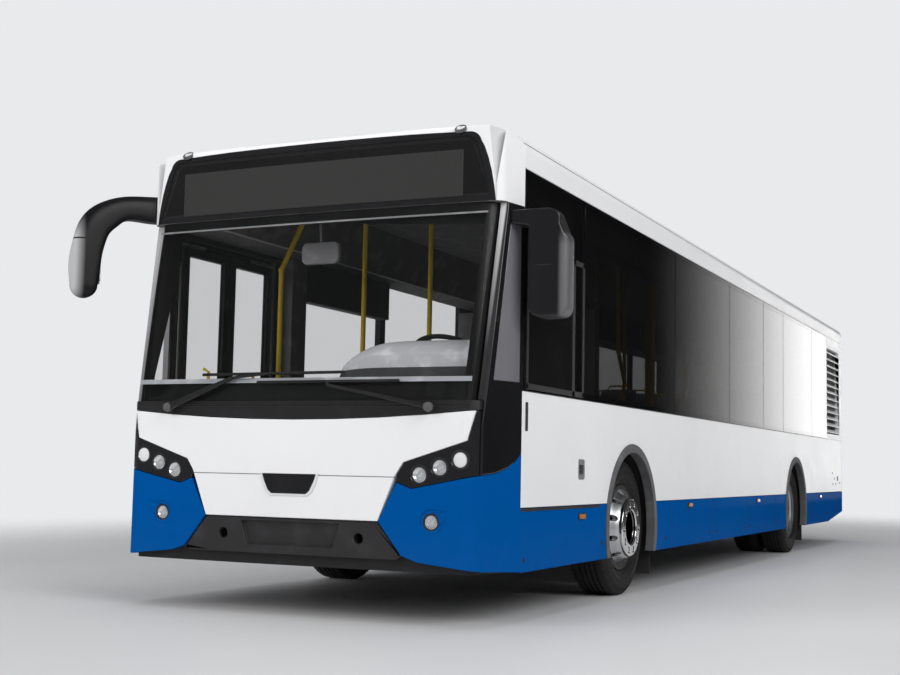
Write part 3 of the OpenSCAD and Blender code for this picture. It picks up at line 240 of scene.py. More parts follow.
class Finish:
    """One procedural material, built node by node on Object coordinates."""

    def __init__(self, name):
        self.material = bpy.data.materials.new(name)
        self.material.use_nodes = True
        self.tree = self.material.node_tree
        self.tree.nodes.clear()
        self.shader = self.tree.nodes.new("ShaderNodeBsdfPrincipled")
        surface = self.tree.nodes.new("ShaderNodeOutputMaterial")
        self.tree.links.new(self.shader.outputs["BSDF"], surface.inputs["Surface"])
        self.place = self.tree.nodes.new("ShaderNodeTexCoord").outputs["Object"]

    def feed(self, socket, value):
        """Links a socket or sets its value."""
        if isinstance(value, bpy.types.NodeSocket):
            self.tree.links.new(value, socket)
        else:
            socket.default_value = value

    def add(self, kind, inputs=None, **settings):
        """Adds a node with its settings and inputs."""
        node = self.tree.nodes.new(kind)
        for key, value in settings.items():
            setattr(node, key, value)
        for key, value in (inputs or {}).items():
            self.feed(node.inputs[key], value)
        return node

    def set(self, **sockets):
        """Sets or links the shader's sockets, named with underscores for spaces."""
        for key, value in sockets.items():
            self.feed(self.shader.inputs[key.replace("_", " ")], value)
        return self

    def noise(self, scale, detail=3.0, stretch=(1, 1, 1)):
        """Soft noise at a scale, stretched along an axis if asked."""
        at = self.add("ShaderNodeMapping", {"Vector": self.place, "Scale": stretch}).outputs["Vector"]
        return self.add("ShaderNodeTexNoise", {"Vector": at, "Scale": scale, "Detail": detail}).outputs["Fac"]

    def spread(self, value, low, high, start=0.3, end=0.7):
        """Maps a value from one range to another."""
        return self.add("ShaderNodeMapRange", {
            "Value": value, "From Min": start, "From Max": end, "To Min": low, "To Max": high}).outputs["Result"]

    def times(self, a, b):
        """Product of two values."""
        return self.add("ShaderNodeMath", {0: a, 1: b}, operation="MULTIPLY").outputs[0]

    def blend(self, factor, a, b):
        """Mixes two colours."""
        node = self.add("ShaderNodeMix", {0: factor, 6: a, 7: b}, data_type="RGBA")
        return node.outputs[2]

    def along(self, letter):
        """Distance along an axis: X forward, Y to the left, Z up."""
        return self.add("ShaderNodeSeparateXYZ", {"Vector": self.place}).outputs[letter]

    def height(self):
        """Height over the ground."""
        return self.along("Z")

    def bump(self, height, strength, distance):
        """Relief from a height value."""
        node = self.add("ShaderNodeBump", {"Height": height, "Strength": strength, "Distance": distance})
        return self.set(Normal=node.outputs["Normal"])


FINISHES = {}


def finish(name):
    """The material of that name, built at its first use; a colour given as a word is one of the settings."""
    if name not in FINISHES:
        maker, *values = MAKERS[name][1:]
        values = [getattr(colours(), value) if isinstance(value, str) else value for value in values]
        FINISHES[name] = maker(name, *values).material
    return FINISHES[name]


def paint(name, colour, dust, gloss):
    """Sprayed paint under lacquer: broad tone drift, orange peel and road dust towards the ground."""
    f = Finish(name)
    fine = f.noise(9.0, 6)
    tone = f.blend(f.spread(f.noise(0.8), 0, 1), shade(colour, 0.965), shade(colour, 1.02))
    film = f.times(f.spread(f.height(), 1, 0, 0.27, 0.62), f.spread(fine, 0, dust))
    f.set(Base_Color=f.blend(film, tone, (0.30, 0.28, 0.25, 1)), Roughness=f.spread(fine, 0.30, 0.42))
    f.set(Specular_IOR_Level=gloss, Coat_Weight=0.02 + gloss / 2, Coat_Roughness=0.06)
    return f.bump(f.noise(320, 2), 0.04, 0.0006)


def recess_paint(name):
    """Painted shade: a greyer white for the facets in the hollows of the dome's corners."""
    return paint(name, shade(colours().white, 0.74), 0.0, 0.05)


def gloss_black(name, colour):
    """Black lacquer with faint wiping smears."""
    f = Finish(name)
    smear = f.noise(5, 4, (1, 1, 0.3))
    f.set(Base_Color=f.blend(smear, shade(colour, 0.8), shade(colour, 1.5)),
          Roughness=f.spread(smear, 0.07, 0.16), Coat_Weight=0.5, Coat_Roughness=0.04)
    return f.bump(f.noise(240, 2), 0.03, 0.0005)


def moulded(name, colour, rough, grain):
    """Moulded plastic with a leather-like grain and paler scuffs."""
    f = Finish(name)
    cells = f.add("ShaderNodeTexVoronoi", {"Vector": f.place, "Scale": grain}).outputs["Distance"]
    scuff = f.spread(f.noise(7, 6), 0, 1, 0.52, 0.78)
    f.set(Base_Color=f.blend(scuff, colour, shade(colour, 1.7)),
          Roughness=f.spread(cells, rough, rough + 0.16, 0, 0.7))
    return f.bump(cells, 0.16, 0.0009)


def mirror_plastic(name):
    """Satin black of the left mirror, paler on its outer lobe."""
    f = Finish(name)
    lobe = f.times(f.spread(f.along("Y"), 0, 1, 1.522, 1.545), f.spread(f.height(), 1, 0, 2.15, 2.24))
    grain = f.noise(420, 3)
    f.set(Base_Color=f.blend(lobe, (0.009, 0.009, 0.010, 1), (0.11, 0.11, 0.115, 1)),
          Roughness=f.spread(grain, 0.28, 0.40))
    return f.bump(grain, 0.06, 0.0006)


def horn_plastic(name):
    """Satin black of the right mirror's horn with a painted highlight in pale grey on its leading face."""
    f = Finish(name)
    arm = f.add("ShaderNodeVectorMath", {0: f.place, 1: HORN_RUN}, operation="DOT_PRODUCT").outputs["Value"]
    lead = HORN_RUN.dot(HORN_ROOT)
    # Painted highlight: pale grey across the leading face, fading out towards the top
    painted_highlight = f.times(f.spread(arm, 0, 1, lead + 0.500, lead + 0.562), f.spread(f.height(), 1, 0.04, 2.30, 2.46))
    parting = f.times(f.spread(f.height(), 0, 1, 2.276, 2.279), f.spread(f.height(), 1, 0, 2.285, 2.288))
    grain = f.noise(420, 3)
    # The housing's black with the painted highlight laid over it
    cover = f.blend(painted_highlight, (0.007, 0.007, 0.008, 1), (0.44, 0.44, 0.45, 1))
    f.set(Base_Color=f.blend(parting, cover, (0.006, 0.006, 0.006, 1)), Roughness=f.spread(grain, 0.30, 0.42),
          Specular_IOR_Level=0.22)
    return f.bump(grain, 0.06, 0.0006)


def pillar_grey(name):
    """Satin grey edge of the front pillars with painted light and shade: a painted highlight paler towards the roof, a
    darker foot on the left pillar, and painted shade past a leaning line on the left pillar's outer part.
    """
    f = Finish(name)
    grain = f.noise(260, 3)
    # Painted shade: the foot is darker on the left pillar than on the right
    left = f.spread(f.along("Y"), 0, 1, -0.1, 0.1)
    foot = f.blend(left, (0.24, 0.24, 0.25, 1), (0.050, 0.050, 0.052, 1))
    # Painted highlight, growing towards the roof
    lit = f.blend(f.spread(f.height(), 0, 1, 1.55, 2.36), foot, (0.62, 0.62, 0.63, 1))
    # Painted shade on the left pillar's outer part, past a line leaning with the windscreen
    lean = f.add("ShaderNodeVectorMath", {0: f.place, 1: (0, 1, -0.0562)}, operation="DOT_PRODUCT").outputs["Value"]
    f.set(Base_Color=f.blend(f.spread(lean, 0, 1, 1.088, 1.098), lit, (0.030, 0.030, 0.032, 1)),
          Roughness=f.spread(grain, 0.32, 0.46))
    return f.bump(grain, 0.06, 0.0006)


def tyre_rubber(name):
    """Tyre rubber, greyed by dust on its walls."""
    f = Finish(name)
    dust = f.noise(6, 6)
    f.set(Base_Color=f.blend(f.spread(dust, 0, 0.7), (0.007, 0.007, 0.007, 1), (0.024, 0.023, 0.022, 1)),
          Roughness=f.spread(dust, 0.60, 0.84), Specular_IOR_Level=0.3)
    return f.bump(f.noise(260, 4), 0.18, 0.001)


def metal(name, colour, rough, stretch, scale):
    """Metal with fine running marks."""
    f = Finish(name)
    marks = f.noise(scale, 4, stretch)
    f.set(Base_Color=f.blend(marks, shade(colour, 0.86), shade(colour, 1.08)), Metallic=1.0,
          Roughness=f.spread(marks, rough, rough + 0.14))
    return f.bump(marks, 0.05, 0.0005)


def cast_iron(name):
    """Dark castings of the axles and the hub's inside."""
    f = Finish(name)
    grain = f.noise(90, 6)
    f.set(Base_Color=f.blend(grain, (0.020, 0.020, 0.021, 1), (0.060, 0.056, 0.050, 1)), Metallic=0.3,
          Roughness=f.spread(grain, 0.55, 0.8))
    return f.bump(grain, 0.4, 0.002)


def pane(name, alpha, tone=0.004):
    """Tinted side glass with faint wash marks."""
    f = Finish(name)
    wash = f.noise(3, 4, (1, 1, 0.25))
    f.set(Base_Color=f.blend(wash, (tone, tone, 1.1 * tone, 1), (2.2 * tone, 2.2 * tone, 2.4 * tone, 1)),
          Roughness=f.spread(wash, 0.01, 0.04), Alpha=alpha, IOR=1.52)
    return f.bump(f.noise(1.6, 2), 0.02, 0.002)


def front_glass(name, alpha, scale, dark, light, smooth, rough):
    """Glass of the front, wiped sideways: the clear windscreen and the display's smoked pane."""
    f = Finish(name)
    wash = f.noise(scale, 4, (1, 0.3, 1))
    f.set(Base_Color=f.blend(wash, dark, light), Roughness=f.spread(wash, smooth, rough), Alpha=alpha, IOR=1.52)
    return f.bump(f.noise(1.4, 2), 0.02, 0.002)


def display_panel(name):
    """Dark film over the display's lamps, which show as a fine grid of dots."""
    f = Finish(name)
    flat = f.add("ShaderNodeMapping", {"Vector": f.place, "Scale": (0, 1, 1)}).outputs["Vector"]
    cells = f.add("ShaderNodeTexVoronoi", {"Vector": flat, "Scale": 52.0, "Randomness": 0.0}).outputs["Distance"]
    dots = f.spread(cells, 1, 0, 0.20, 0.34)
    f.set(Base_Color=f.blend(dots, (0.033, 0.032, 0.031, 1), (0.040, 0.039, 0.038, 1)),
          Roughness=f.spread(f.noise(8, 3), 0.40, 0.55))
    return f.bump(dots, 0.05, 0.0005)


def lamp_glass(name):
    """Clear ribbed cover of a lamp."""
    f = Finish(name)
    ribs = f.noise(60, 2, (1, 6, 1))
    f.set(Base_Color=f.blend(ribs, (0.70, 0.72, 0.75, 1), (0.86, 0.87, 0.88, 1)),
          Roughness=f.spread(ribs, 0.02, 0.08), Alpha=0.22, IOR=1.5)
    return f.bump(ribs, 0.2, 0.001)


def diffuser(name):
    """Frosted white cover of the outer lamp."""
    f = Finish(name)
    frost = f.noise(150, 4)
    f.set(Base_Color=f.blend(frost, (0.66, 0.67, 0.68, 1), (0.80, 0.80, 0.80, 1)),
          Roughness=f.spread(frost, 0.12, 0.24), Coat_Weight=0.5, Coat_Roughness=0.05)
    return f.bump(frost, 0.1, 0.0008)


def lens(name, colour):
    """Moulded colour lens with prisms."""
    f = Finish(name)
    prisms = f.add("ShaderNodeTexVoronoi", {"Vector": f.place, "Scale": 160.0}).outputs["Distance"]
    f.set(Base_Color=f.blend(f.spread(prisms, 0, 1, 0, 0.6), shade(colour, 1.15), shade(colour, 0.6)),
          Roughness=f.spread(prisms, 0.08, 0.2, 0, 0.6), Coat_Weight=0.7, Coat_Roughness=0.04)
    return f.bump(prisms, 0.25, 0.001)


def pole_yellow(name, colour):
    """Powder coat of the poles, worn where hands hold them."""
    f = Finish(name)
    worn = f.spread(f.noise(5, 5), 0, 0.5, 0.55, 0.75)
    f.set(Base_Color=f.blend(worn, colour, shade(colour, 0.6)), Roughness=f.spread(f.noise(60, 3), 0.28, 0.44))
    return f.bump(f.noise(500, 2), 0.08, 0.0006)


def seat_cloth(name, colour):
    """Flat woven seat cover: two thread directions, a sparse fleck and a soft sheen."""
    f = Finish(name)
    warp, weft = (f.add("ShaderNodeTexWave", {"Vector": f.place, "Scale": 260.0, "Distortion": 0.6},
                        bands_direction=way).outputs["Fac"] for way in "YZ")
    weave = f.times(warp, weft)
    fleck = f.spread(f.noise(45, 3), 0, 1, 0.60, 0.68)
    ground = f.blend(weave, shade(colour, 0.6), shade(colour, 1.3))
    f.set(Base_Color=f.blend(fleck, ground, (0.42, 0.40, 0.34, 1)), Roughness=f.spread(weave, 0.75, 0.95, 0, 1))
    f.set(Sheen_Weight=0.3)
    return f.bump(weave, 0.35, 0.0012)


def floor_vinyl(name):
    """Safety vinyl of the saloon floor with pale grit."""
    f = Finish(name)
    grit = f.spread(f.noise(220, 3), 0, 1, 0.60, 0.66)
    f.set(Base_Color=f.blend(grit, (0.085, 0.090, 0.098, 1), (0.24, 0.24, 0.24, 1)),
          Roughness=f.spread(f.noise(4, 4), 0.5, 0.7))
    return f.bump(f.noise(340, 3), 0.2, 0.001)


# Each finish: the record's slot it stands for, its maker and the maker's values
MAKERS = {
    # Body
    "white_paint": ("white", paint, "white", 0.07, 0.22),
    # Painted shade: greyer white for the dome's corner facets
    "recess_paint": ("white", recess_paint),
    "blue_paint": ("blue", paint, "blue", 0.015, 0.0),
    "gloss_black": ("black", gloss_black, "gloss_black"),
    "frit_black": ("black", moulded, (0.006, 0.006, 0.006, 1), 0.45, 300),
    "black_plastic": ("black", moulded, "moulding", 0.36, 420),
    "dark_plastic": ("dark", moulded, (0.021, 0.021, 0.022, 1), 0.50, 300),
    "mirror_plastic": ("black", mirror_plastic),
    "horn_plastic": ("black", horn_plastic),
    # Grey of the front pillars with painted highlight and shade
    "pillar_grey": ("dark", pillar_grey),
    "trim_rubber": ("dark", moulded, (0.095, 0.095, 0.098, 1), 0.52, 480),
    "seal_rubber": ("rubber", moulded, (0.014, 0.014, 0.014, 1), 0.62, 600),
    # Wheels and running gear
    "tyre_rubber": ("tyre", tyre_rubber),
    "disc_silver": ("rim_silver", metal, (0.60, 0.61, 0.62, 1), 0.30, (1, 6, 1), 40),
    "polished": ("steel", metal, (0.86, 0.86, 0.87, 1), 0.07, (1, 1, 1), 30),
    "bare_steel": ("steel", metal, (0.42, 0.42, 0.43, 1), 0.38, (1, 1, 5), 50),
    "cast_iron": ("iron", cast_iron),
    # Glass: dark on the driver's side and the tail, lighter on the door side, and grey in the left front corner, where
    # the grey is a painted reflection
    "side_pane": ("tinted_glass", pane, 0.70),
    "clear_pane": ("tinted_glass", pane, 0.11),
    # Grey pane of the left front corner: a painted reflection
    "quarter_pane": ("tinted_glass", pane, 0.75, 0.13),
    "front_pane": (
        "screen_glass", front_glass, 0.09, 3, (0.020, 0.022, 0.022, 1), (0.035, 0.037, 0.037, 1), 0.01, 0.035),
    "display_screen": (
        "black", front_glass, 0.86, 4, (0.008, 0.008, 0.008, 1), (0.014, 0.014, 0.014, 1), 0.05, 0.11),
    "display_panel": ("dark", display_panel),
    # Lamps
    "reflector": ("lens", metal, (0.90, 0.90, 0.91, 1), 0.10, (1, 1, 1), 60),
    "lamp_glass": ("lens", lamp_glass),
    "diffuser": ("lens", diffuser),
    "amber_lens": ("yellow", lens, "amber"),
    "tail_red": ("red_lens", lens, (0.42, 0.012, 0.012, 1)),
    # Saloon and driver's place
    "dash_plastic": ("dark", moulded, "dash", 0.48, 360),
    "desk_dark": ("dark", moulded, (0.055, 0.055, 0.058, 1), 0.5, 360),
    "shell_plastic": ("grey", moulded, (0.30, 0.31, 0.33, 1), 0.40, 300),
    "lining": ("grey", moulded, (0.18, 0.18, 0.185, 1), 0.5, 240),
    "dark_lining": ("dark", moulded, (0.150, 0.148, 0.145, 1), 0.6, 240),
    "pole_yellow": ("yellow", pole_yellow, "pole"),
    "seat_cloth": ("fabric", seat_cloth, "seat_cloth"),
    "floor_vinyl": ("grey", floor_vinyl),
}


# Shapes

MERGE_DISTANCE = 2e-5


def linked(name, data):
    """A new object at the origin, in the scene."""
    item = bpy.data.objects.new(name, data)
    bpy.context.scene.collection.objects.link(item)
    return item


def stored(bm, name):
    """The faces of an edit mesh as a mesh of that name."""
    mesh = bpy.data.meshes.new(name)
    bm.to_mesh(mesh)
    bm.free()
    return mesh


def evaluated(base):
    """The mesh that an object's modifiers give."""
    graph = bpy.context.evaluated_depsgraph_get()
    return bpy.data.meshes.new_from_object(base.evaluated_get(graph), depsgraph=graph)


def set_piece(name, mesh, names, body="body", replaces=(), edge=0.0, segments=2, smooth=35):
    """Turns a mesh into a piece: finishes, shading, rounded edges, and the body that carries it."""
    for n in names:
        mesh.materials.append(finish(n))
    mesh.polygons.foreach_set("use_smooth", [True] * len(mesh.polygons))
    mesh.set_sharp_from_angle(angle=math.radians(smooth))
    piece = linked(name, mesh)
    if edge:
        rounding = piece.modifiers.new("Rounded edges", "BEVEL")
        rounding.width = edge
        rounding.segments = segments
        rounding.limit_method = "ANGLE"
        rounding.angle_limit = math.radians(32)
        rounding.use_clamp_overlap = False
        piece.modifiers.new("Even shading", "WEIGHTED_NORMAL").keep_sharp = True
    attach(piece, body)
    if replaces:
        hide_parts(*replaces)
    return piece


def opened(node):
    """A CAD node's mesh for editing, with its doubles merged."""
    bm = bmesh.new()
    bm.from_mesh(NODES[node].data)
    bmesh.ops.remove_doubles(bm, verts=bm.verts, dist=MERGE_DISTANCE)
    return bm


def merged(node):
    """A CAD node's mesh for editing, with its doubles merged and its flat faces joined."""
    bm = opened(node)
    bmesh.ops.dissolve_limit(bm, angle_limit=math.radians(0.05), verts=bm.verts, edges=bm.edges)
    bmesh.ops.recalc_face_normals(bm, faces=bm.faces)
    return bm


def carved(mesh, tool):
    """A copy of a mesh with the shape of a tool taken away."""
    base, cutter = linked("base", mesh), linked("tool", tool)
    cut = base.modifiers.new("Cut", "BOOLEAN")
    cut.operation = "DIFFERENCE"
    cut.solver = "EXACT"
    cut.object = cutter
    result = evaluated(base)
    for item in (base, cutter):
        bpy.data.objects.remove(item)
    result.materials.clear()
    return result


def skin(node, names, edge=0.0, segments=2, pick=None, smooth=35, tool=None):
    """Stands a finished copy of a CAD node in its place; pick(centre, normal) chooses a face's finish."""
    name = "visual_" + node
    bm = merged(node)
    if tool:
        mesh = carved(stored(bm, name), tool)
        bm = bmesh.new()
        bm.from_mesh(mesh)
    for face in bm.faces:
        face.material_index = pick(face.calc_center_median(), face.normal) if pick else 0
    return set_piece(name, stored(bm, name), names, NODES[node]["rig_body"], (node,), edge, segments, smooth)


def islands(node):
    """Boxes of a node's separate solids, as (lowest corner, highest corner), ordered by place."""
    bm = opened(node)
    left = set(bm.verts)
    boxes = []
    while left:
        reach = [left.pop()]
        low, high = reach[0].co.copy(), reach[0].co.copy()
        while reach:
            vert = reach.pop()
            low = Vector(map(min, low, vert.co))
            high = Vector(map(max, high, vert.co))
            for edge in vert.link_edges:
                other = edge.other_vert(vert)
                if other in left:
                    left.remove(other)
                    reach.append(other)
        boxes.append((low, high))
    bm.free()
    return sorted(boxes, key=lambda box: tuple(round(c, 3) for c in box[0]))


def rounded(width, height, radius, steps=5):
    """Outline of a rectangle with round corners, centred, as (u, v)."""
    points = []
    for i, (su, sv) in enumerate(((1, 1), (-1, 1), (-1, -1), (1, -1))):
        for k in range(steps + 1):
            a = math.pi / 2 * (i + k / steps)
            points.append((su * (width / 2 - radius) + radius * math.cos(a),
                           sv * (height / 2 - radius) + radius * math.sin(a)))
    return points


def rectangle(low, high):
    """Outline of a rectangle between two corners, as (u, v)."""
    return [(low[0], low[1]), (high[0], low[1]), (high[0], high[1]), (low[0], high[1])]


class Shape:
    """Gathers faces for one piece; each face keeps the number of its finish."""

    def __init__(self):
        self.bm = bmesh.new()

    def faces(self, points, faces, number=0):
        """Adds faces on new points."""
        verts = [self.bm.verts.new(p) for p in points]
        for f in faces:
            self.bm.faces.new([verts[i] for i in f]).material_index = number

    def lathe(self, profile, centre, axis="Y", steps=48, closed=False, number=0, tilt=0.0):
        """Turns (radius, distance) points about an axis, tilted about Y; closed joins the profile's ends."""
        lean = Matrix.Rotation(tilt, 3, "Y")

        def at(r, d, a):
            if axis == "Y":
                return lean @ Vector((r * math.cos(a), d, r * math.sin(a))) + centre
            if axis == "Z":
                return lean @ Vector((r * math.cos(a), r * math.sin(a), d)) + centre
            return lean @ Vector((d, r * math.cos(a), r * math.sin(a))) + centre
        count = len(profile)
        points = [at(r, d, 2 * math.pi * k / steps) for k in range(steps) for r, d in profile]
        faces = []
        for k in range(steps):
            a, b = k * count, (k + 1) % steps * count
            for i in range(count if closed else count - 1):
                j = (i + 1) % count
                faces.append((a + i, a + j, b + j, b + i))
        self.faces(points, faces, number)

    def prism(self, outline, place, depth, number=0, base=0.0):
        """Raises an outline of (u, v) through a depth; place(u, v, h) gives each point."""
        n = len(outline)
        points = [place(u, v, h) for h in (base, base + depth) for u, v in outline]
        faces = [tuple(range(n)), tuple(range(n, 2 * n))]
        faces += [(i, (i + 1) % n, n + (i + 1) % n, n + i) for i in range(n)]
        self.faces(points, faces, number)

    def band(self, lines, place, depth, number=0, closed=False):
        """Raises the sheet over lines of as many points through a depth; closed joins the lines' ends."""
        n, m = len(lines[0]), len(lines)
        top = n * m
        points = [place(u, v, h) for h in (0.0, depth) for line in lines for u, v in line]
        faces = []
        for i in range(n if closed else n - 1):
            j = (i + 1) % n
            for k in range(m - 1):
                a, b = k * n, k * n + n
                faces += [(a + i, a + j, b + j, b + i), (top + a + i, top + a + j, top + b + j, top + b + i)]
            for a in (0, top - n):
                faces.append((a + i, a + j, top + a + j, top + a + i))
        if not closed:
            for i in (0, n - 1):
                faces += [(k * n + i, k * n + n + i, top + k * n + n + i, top + k * n + i) for k in range(m - 1)]
        self.faces(points, faces, number)

    def sweep(self, rings, number=0):
        """A skin over rings of as many points, closed at both ends."""
        n = len(rings[0])
        points = [p for ring in rings for p in ring]
        faces = [tuple(range(n)), tuple(range(len(points) - n, len(points)))]
        for i in range(len(rings) - 1):
            for k in range(n):
                a, b = i * n, (i + 1) * n
                faces.append((a + k, a + (k + 1) % n, b + (k + 1) % n, b + k))
        self.faces(points, faces, number)

    def block(self, low, high, number=0):
        """A block between two corners."""
        self.prism(rectangle(low, high), lambda u, v, h: Vector((u, v, h)), high[2] - low[2], number, low[2])

    def tube(self, path, radius, sides=12, number=0):
        """A round bar along a path of points, closed at both ends."""
        path = [Vector(p) for p in path]
        rings = []
        side = None
        for i, p in enumerate(path):
            along = (path[min(i + 1, len(path) - 1)] - path[max(i - 1, 0)]).normalized()
            if side is None:
                side = along.orthogonal().normalized()
            side = (side - along * side.dot(along)).normalized()
            up = along.cross(side)
            rings.append([p + radius * (side * math.cos(a) + up * math.sin(a))
                          for a in (2 * math.pi * k / sides for k in range(sides))])
        self.sweep(rings, number)

    def pillow(self, place, width, length, thick, crown, channels):
        """A crowned cushion: its sides pull in between the corners, and channels run across at given lengths."""
        steps = 14
        span = [math.sin(math.pi / 2 * (2 * i / steps - 1)) for i in range(steps + 1)]
        points, faces = [], []
        for top in (True, False):
            for v in span:
                for u in span:
                    fall = (1 - u ** 6) * (1 - v ** 6)
                    rise = thick / 2 * fall ** 0.4 + (crown * (1 - u * u) * (1 - v * v) if top else 0)
                    for c in channels if top else ():
                        rise -= 0.35 * crown * math.exp(-((v - c) / 0.06) ** 2) * fall
                    x = width / 2 * u * (1 - 0.045 * (1 - v * v))
                    y = length / 2 * v * (1 - 0.035 * (1 - u * u))
                    points.append(place @ Vector((x, y, rise if top else -rise)))
        row = steps + 1
        for side in (0, row * row):
            for i in range(steps):
                for j in range(steps):
                    a = side + i * row + j
                    faces.append((a, a + 1, a + row + 1, a + row))
        self.faces(points, faces)

    def mesh(self, name):
        """The gathered faces as a mesh, merged, with all faces pointing outwards."""
        bmesh.ops.remove_doubles(self.bm, verts=self.bm.verts, dist=1e-6)
        bmesh.ops.recalc_face_normals(self.bm, faces=self.bm.faces)
        return stored(self.bm, name)

    def build(self, name, names, body="body", replaces=(), edge=0.0, segments=2, smooth=35):
        """Makes the piece."""
        return set_piece(name, self.mesh(name), names, body, replaces, edge, segments, smooth)


def plate(name, coat, outline, place, depth, **settings):
    """One piece raised from an outline, in one finish."""
    shape = Shape()
    shape.prism(outline, place, depth)
    return shape.build(name, (coat,), **settings)


# Geometry Nodes

def new_tree(name, inputs):
    """An empty tree with a geometry input, named inputs and a geometry output."""
    tree = bpy.data.node_groups.new(name, "GeometryNodeTree")
    tree.interface.new_socket(name="Geometry", in_out="INPUT", socket_type="NodeSocketGeometry")
    for label, kind in inputs:
        tree.interface.new_socket(name=label, in_out="INPUT", socket_type=kind)
    tree.interface.new_socket(name="Geometry", in_out="OUTPUT", socket_type="NodeSocketGeometry")
    return tree, tree.nodes.new("NodeGroupInput"), tree.nodes.new("NodeGroupOutput")


def join(tree, *pairs):
    """Links pairs of sockets."""
    for source, target in pairs:
        tree.links.new(source, target)


def close_tree(tree, source, target, geometry):
    """Ends a tree in Realize Instances and Set Material."""
    real = tree.nodes.new("GeometryNodeRealizeInstances")
    coat = tree.nodes.new("GeometryNodeSetMaterial")
    join(tree, (geometry, real.inputs["Geometry"]), (real.outputs["Geometry"], coat.inputs["Geometry"]),
         (source.outputs["Finish"], coat.inputs["Material"]), (coat.outputs["Geometry"], target.inputs["Geometry"]))
    return tree


def ring_tree():
    """Turns copies of the input about the Y axis and moves the ring to its centre."""
    if "Ring of blocks" in bpy.data.node_groups:
        return bpy.data.node_groups["Ring of blocks"]
    tree, source, target = new_tree("Ring of blocks", (
        ("Count", "NodeSocketInt"), ("Centre", "NodeSocketVector"), ("Finish", "NodeSocketMaterial")))
    points = tree.nodes.new("GeometryNodePoints")
    index = tree.nodes.new("GeometryNodeInputIndex")
    share = tree.nodes.new("ShaderNodeMath")
    share.operation = "DIVIDE"
    angle = tree.nodes.new("ShaderNodeMath")
    angle.operation = "MULTIPLY"
    angle.inputs[1].default_value = 2 * math.pi
    turn = tree.nodes.new("ShaderNodeCombineXYZ")
    euler = tree.nodes.new("FunctionNodeEulerToRotation")
    copies = tree.nodes.new("GeometryNodeInstanceOnPoints")
    join(tree, (source.outputs["Count"], points.inputs["Count"]), (source.outputs["Centre"], points.inputs["Position"]),
         (index.outputs["Index"], share.inputs[0]), (source.outputs["Count"], share.inputs[1]),
         (share.outputs[0], angle.inputs[0]), (angle.outputs[0], turn.inputs["Y"]),
         (turn.outputs["Vector"], euler.inputs["Euler"]), (points.outputs["Points"], copies.inputs["Points"]),
         (source.outputs["Geometry"], copies.inputs["Instance"]),
         (euler.outputs["Rotation"], copies.inputs["Rotation"]))
    return close_tree(tree, source, target, copies.outputs["Instances"])


def places_tree():
    """Sets a copy of one piece on every point of the input."""
    if "Pieces at places" in bpy.data.node_groups:
        return bpy.data.node_groups["Pieces at places"]
    tree, source, target = new_tree("Pieces at places", (
        ("Piece", "NodeSocketObject"), ("Finish", "NodeSocketMaterial")))
    piece = tree.nodes.new("GeometryNodeObjectInfo")
    copies = tree.nodes.new("GeometryNodeInstanceOnPoints")
    join(tree, (source.outputs["Piece"], piece.inputs["Object"]), (source.outputs["Geometry"], copies.inputs["Points"]),
         (piece.outputs["Geometry"], copies.inputs["Instance"]))
    return close_tree(tree, source, target, copies.outputs["Instances"])


def grow(tree, mesh, values):
    """Runs a tree on a mesh and returns the result as a plain mesh."""
    base = linked("base", mesh)
    modifier = base.modifiers.new(tree.name, "NODES")
    modifier.node_group = tree
    for item in tree.interface.items_tree:
        if item.in_out == "INPUT" and item.name in values:
            modifier[item.identifier] = values[item.name]
    result = evaluated(base)
    base.modifiers.remove(modifier)
    bpy.data.objects.remove(base)
    coats = [coat for coat in result.materials if coat]
    if not result.vertices or not coats:
        raise RuntimeError(f"{tree.name} made nothing")
    result.materials.clear()
    result.materials.append(coats[0])
    result.polygons.foreach_set("material_index", [0] * len(result.polygons))
    return result


def at_places(name, shape, places, coat, edge=0.0, replaces=(), smooth=35):
    """One piece of copies of a shape at places, in one finish."""
    pattern = linked("pattern", shape.mesh("pattern"))
    points = bpy.data.meshes.new("places")
    points.from_pydata([tuple(p) for p in places], [], [])
    mesh = grow(places_tree(), points, {"Piece": pattern, "Finish": finish(coat)})
    bpy.data.objects.remove(pattern)
    return set_piece(name, mesh, (), replaces=replaces, edge=edge, smooth=smooth)


# Operators

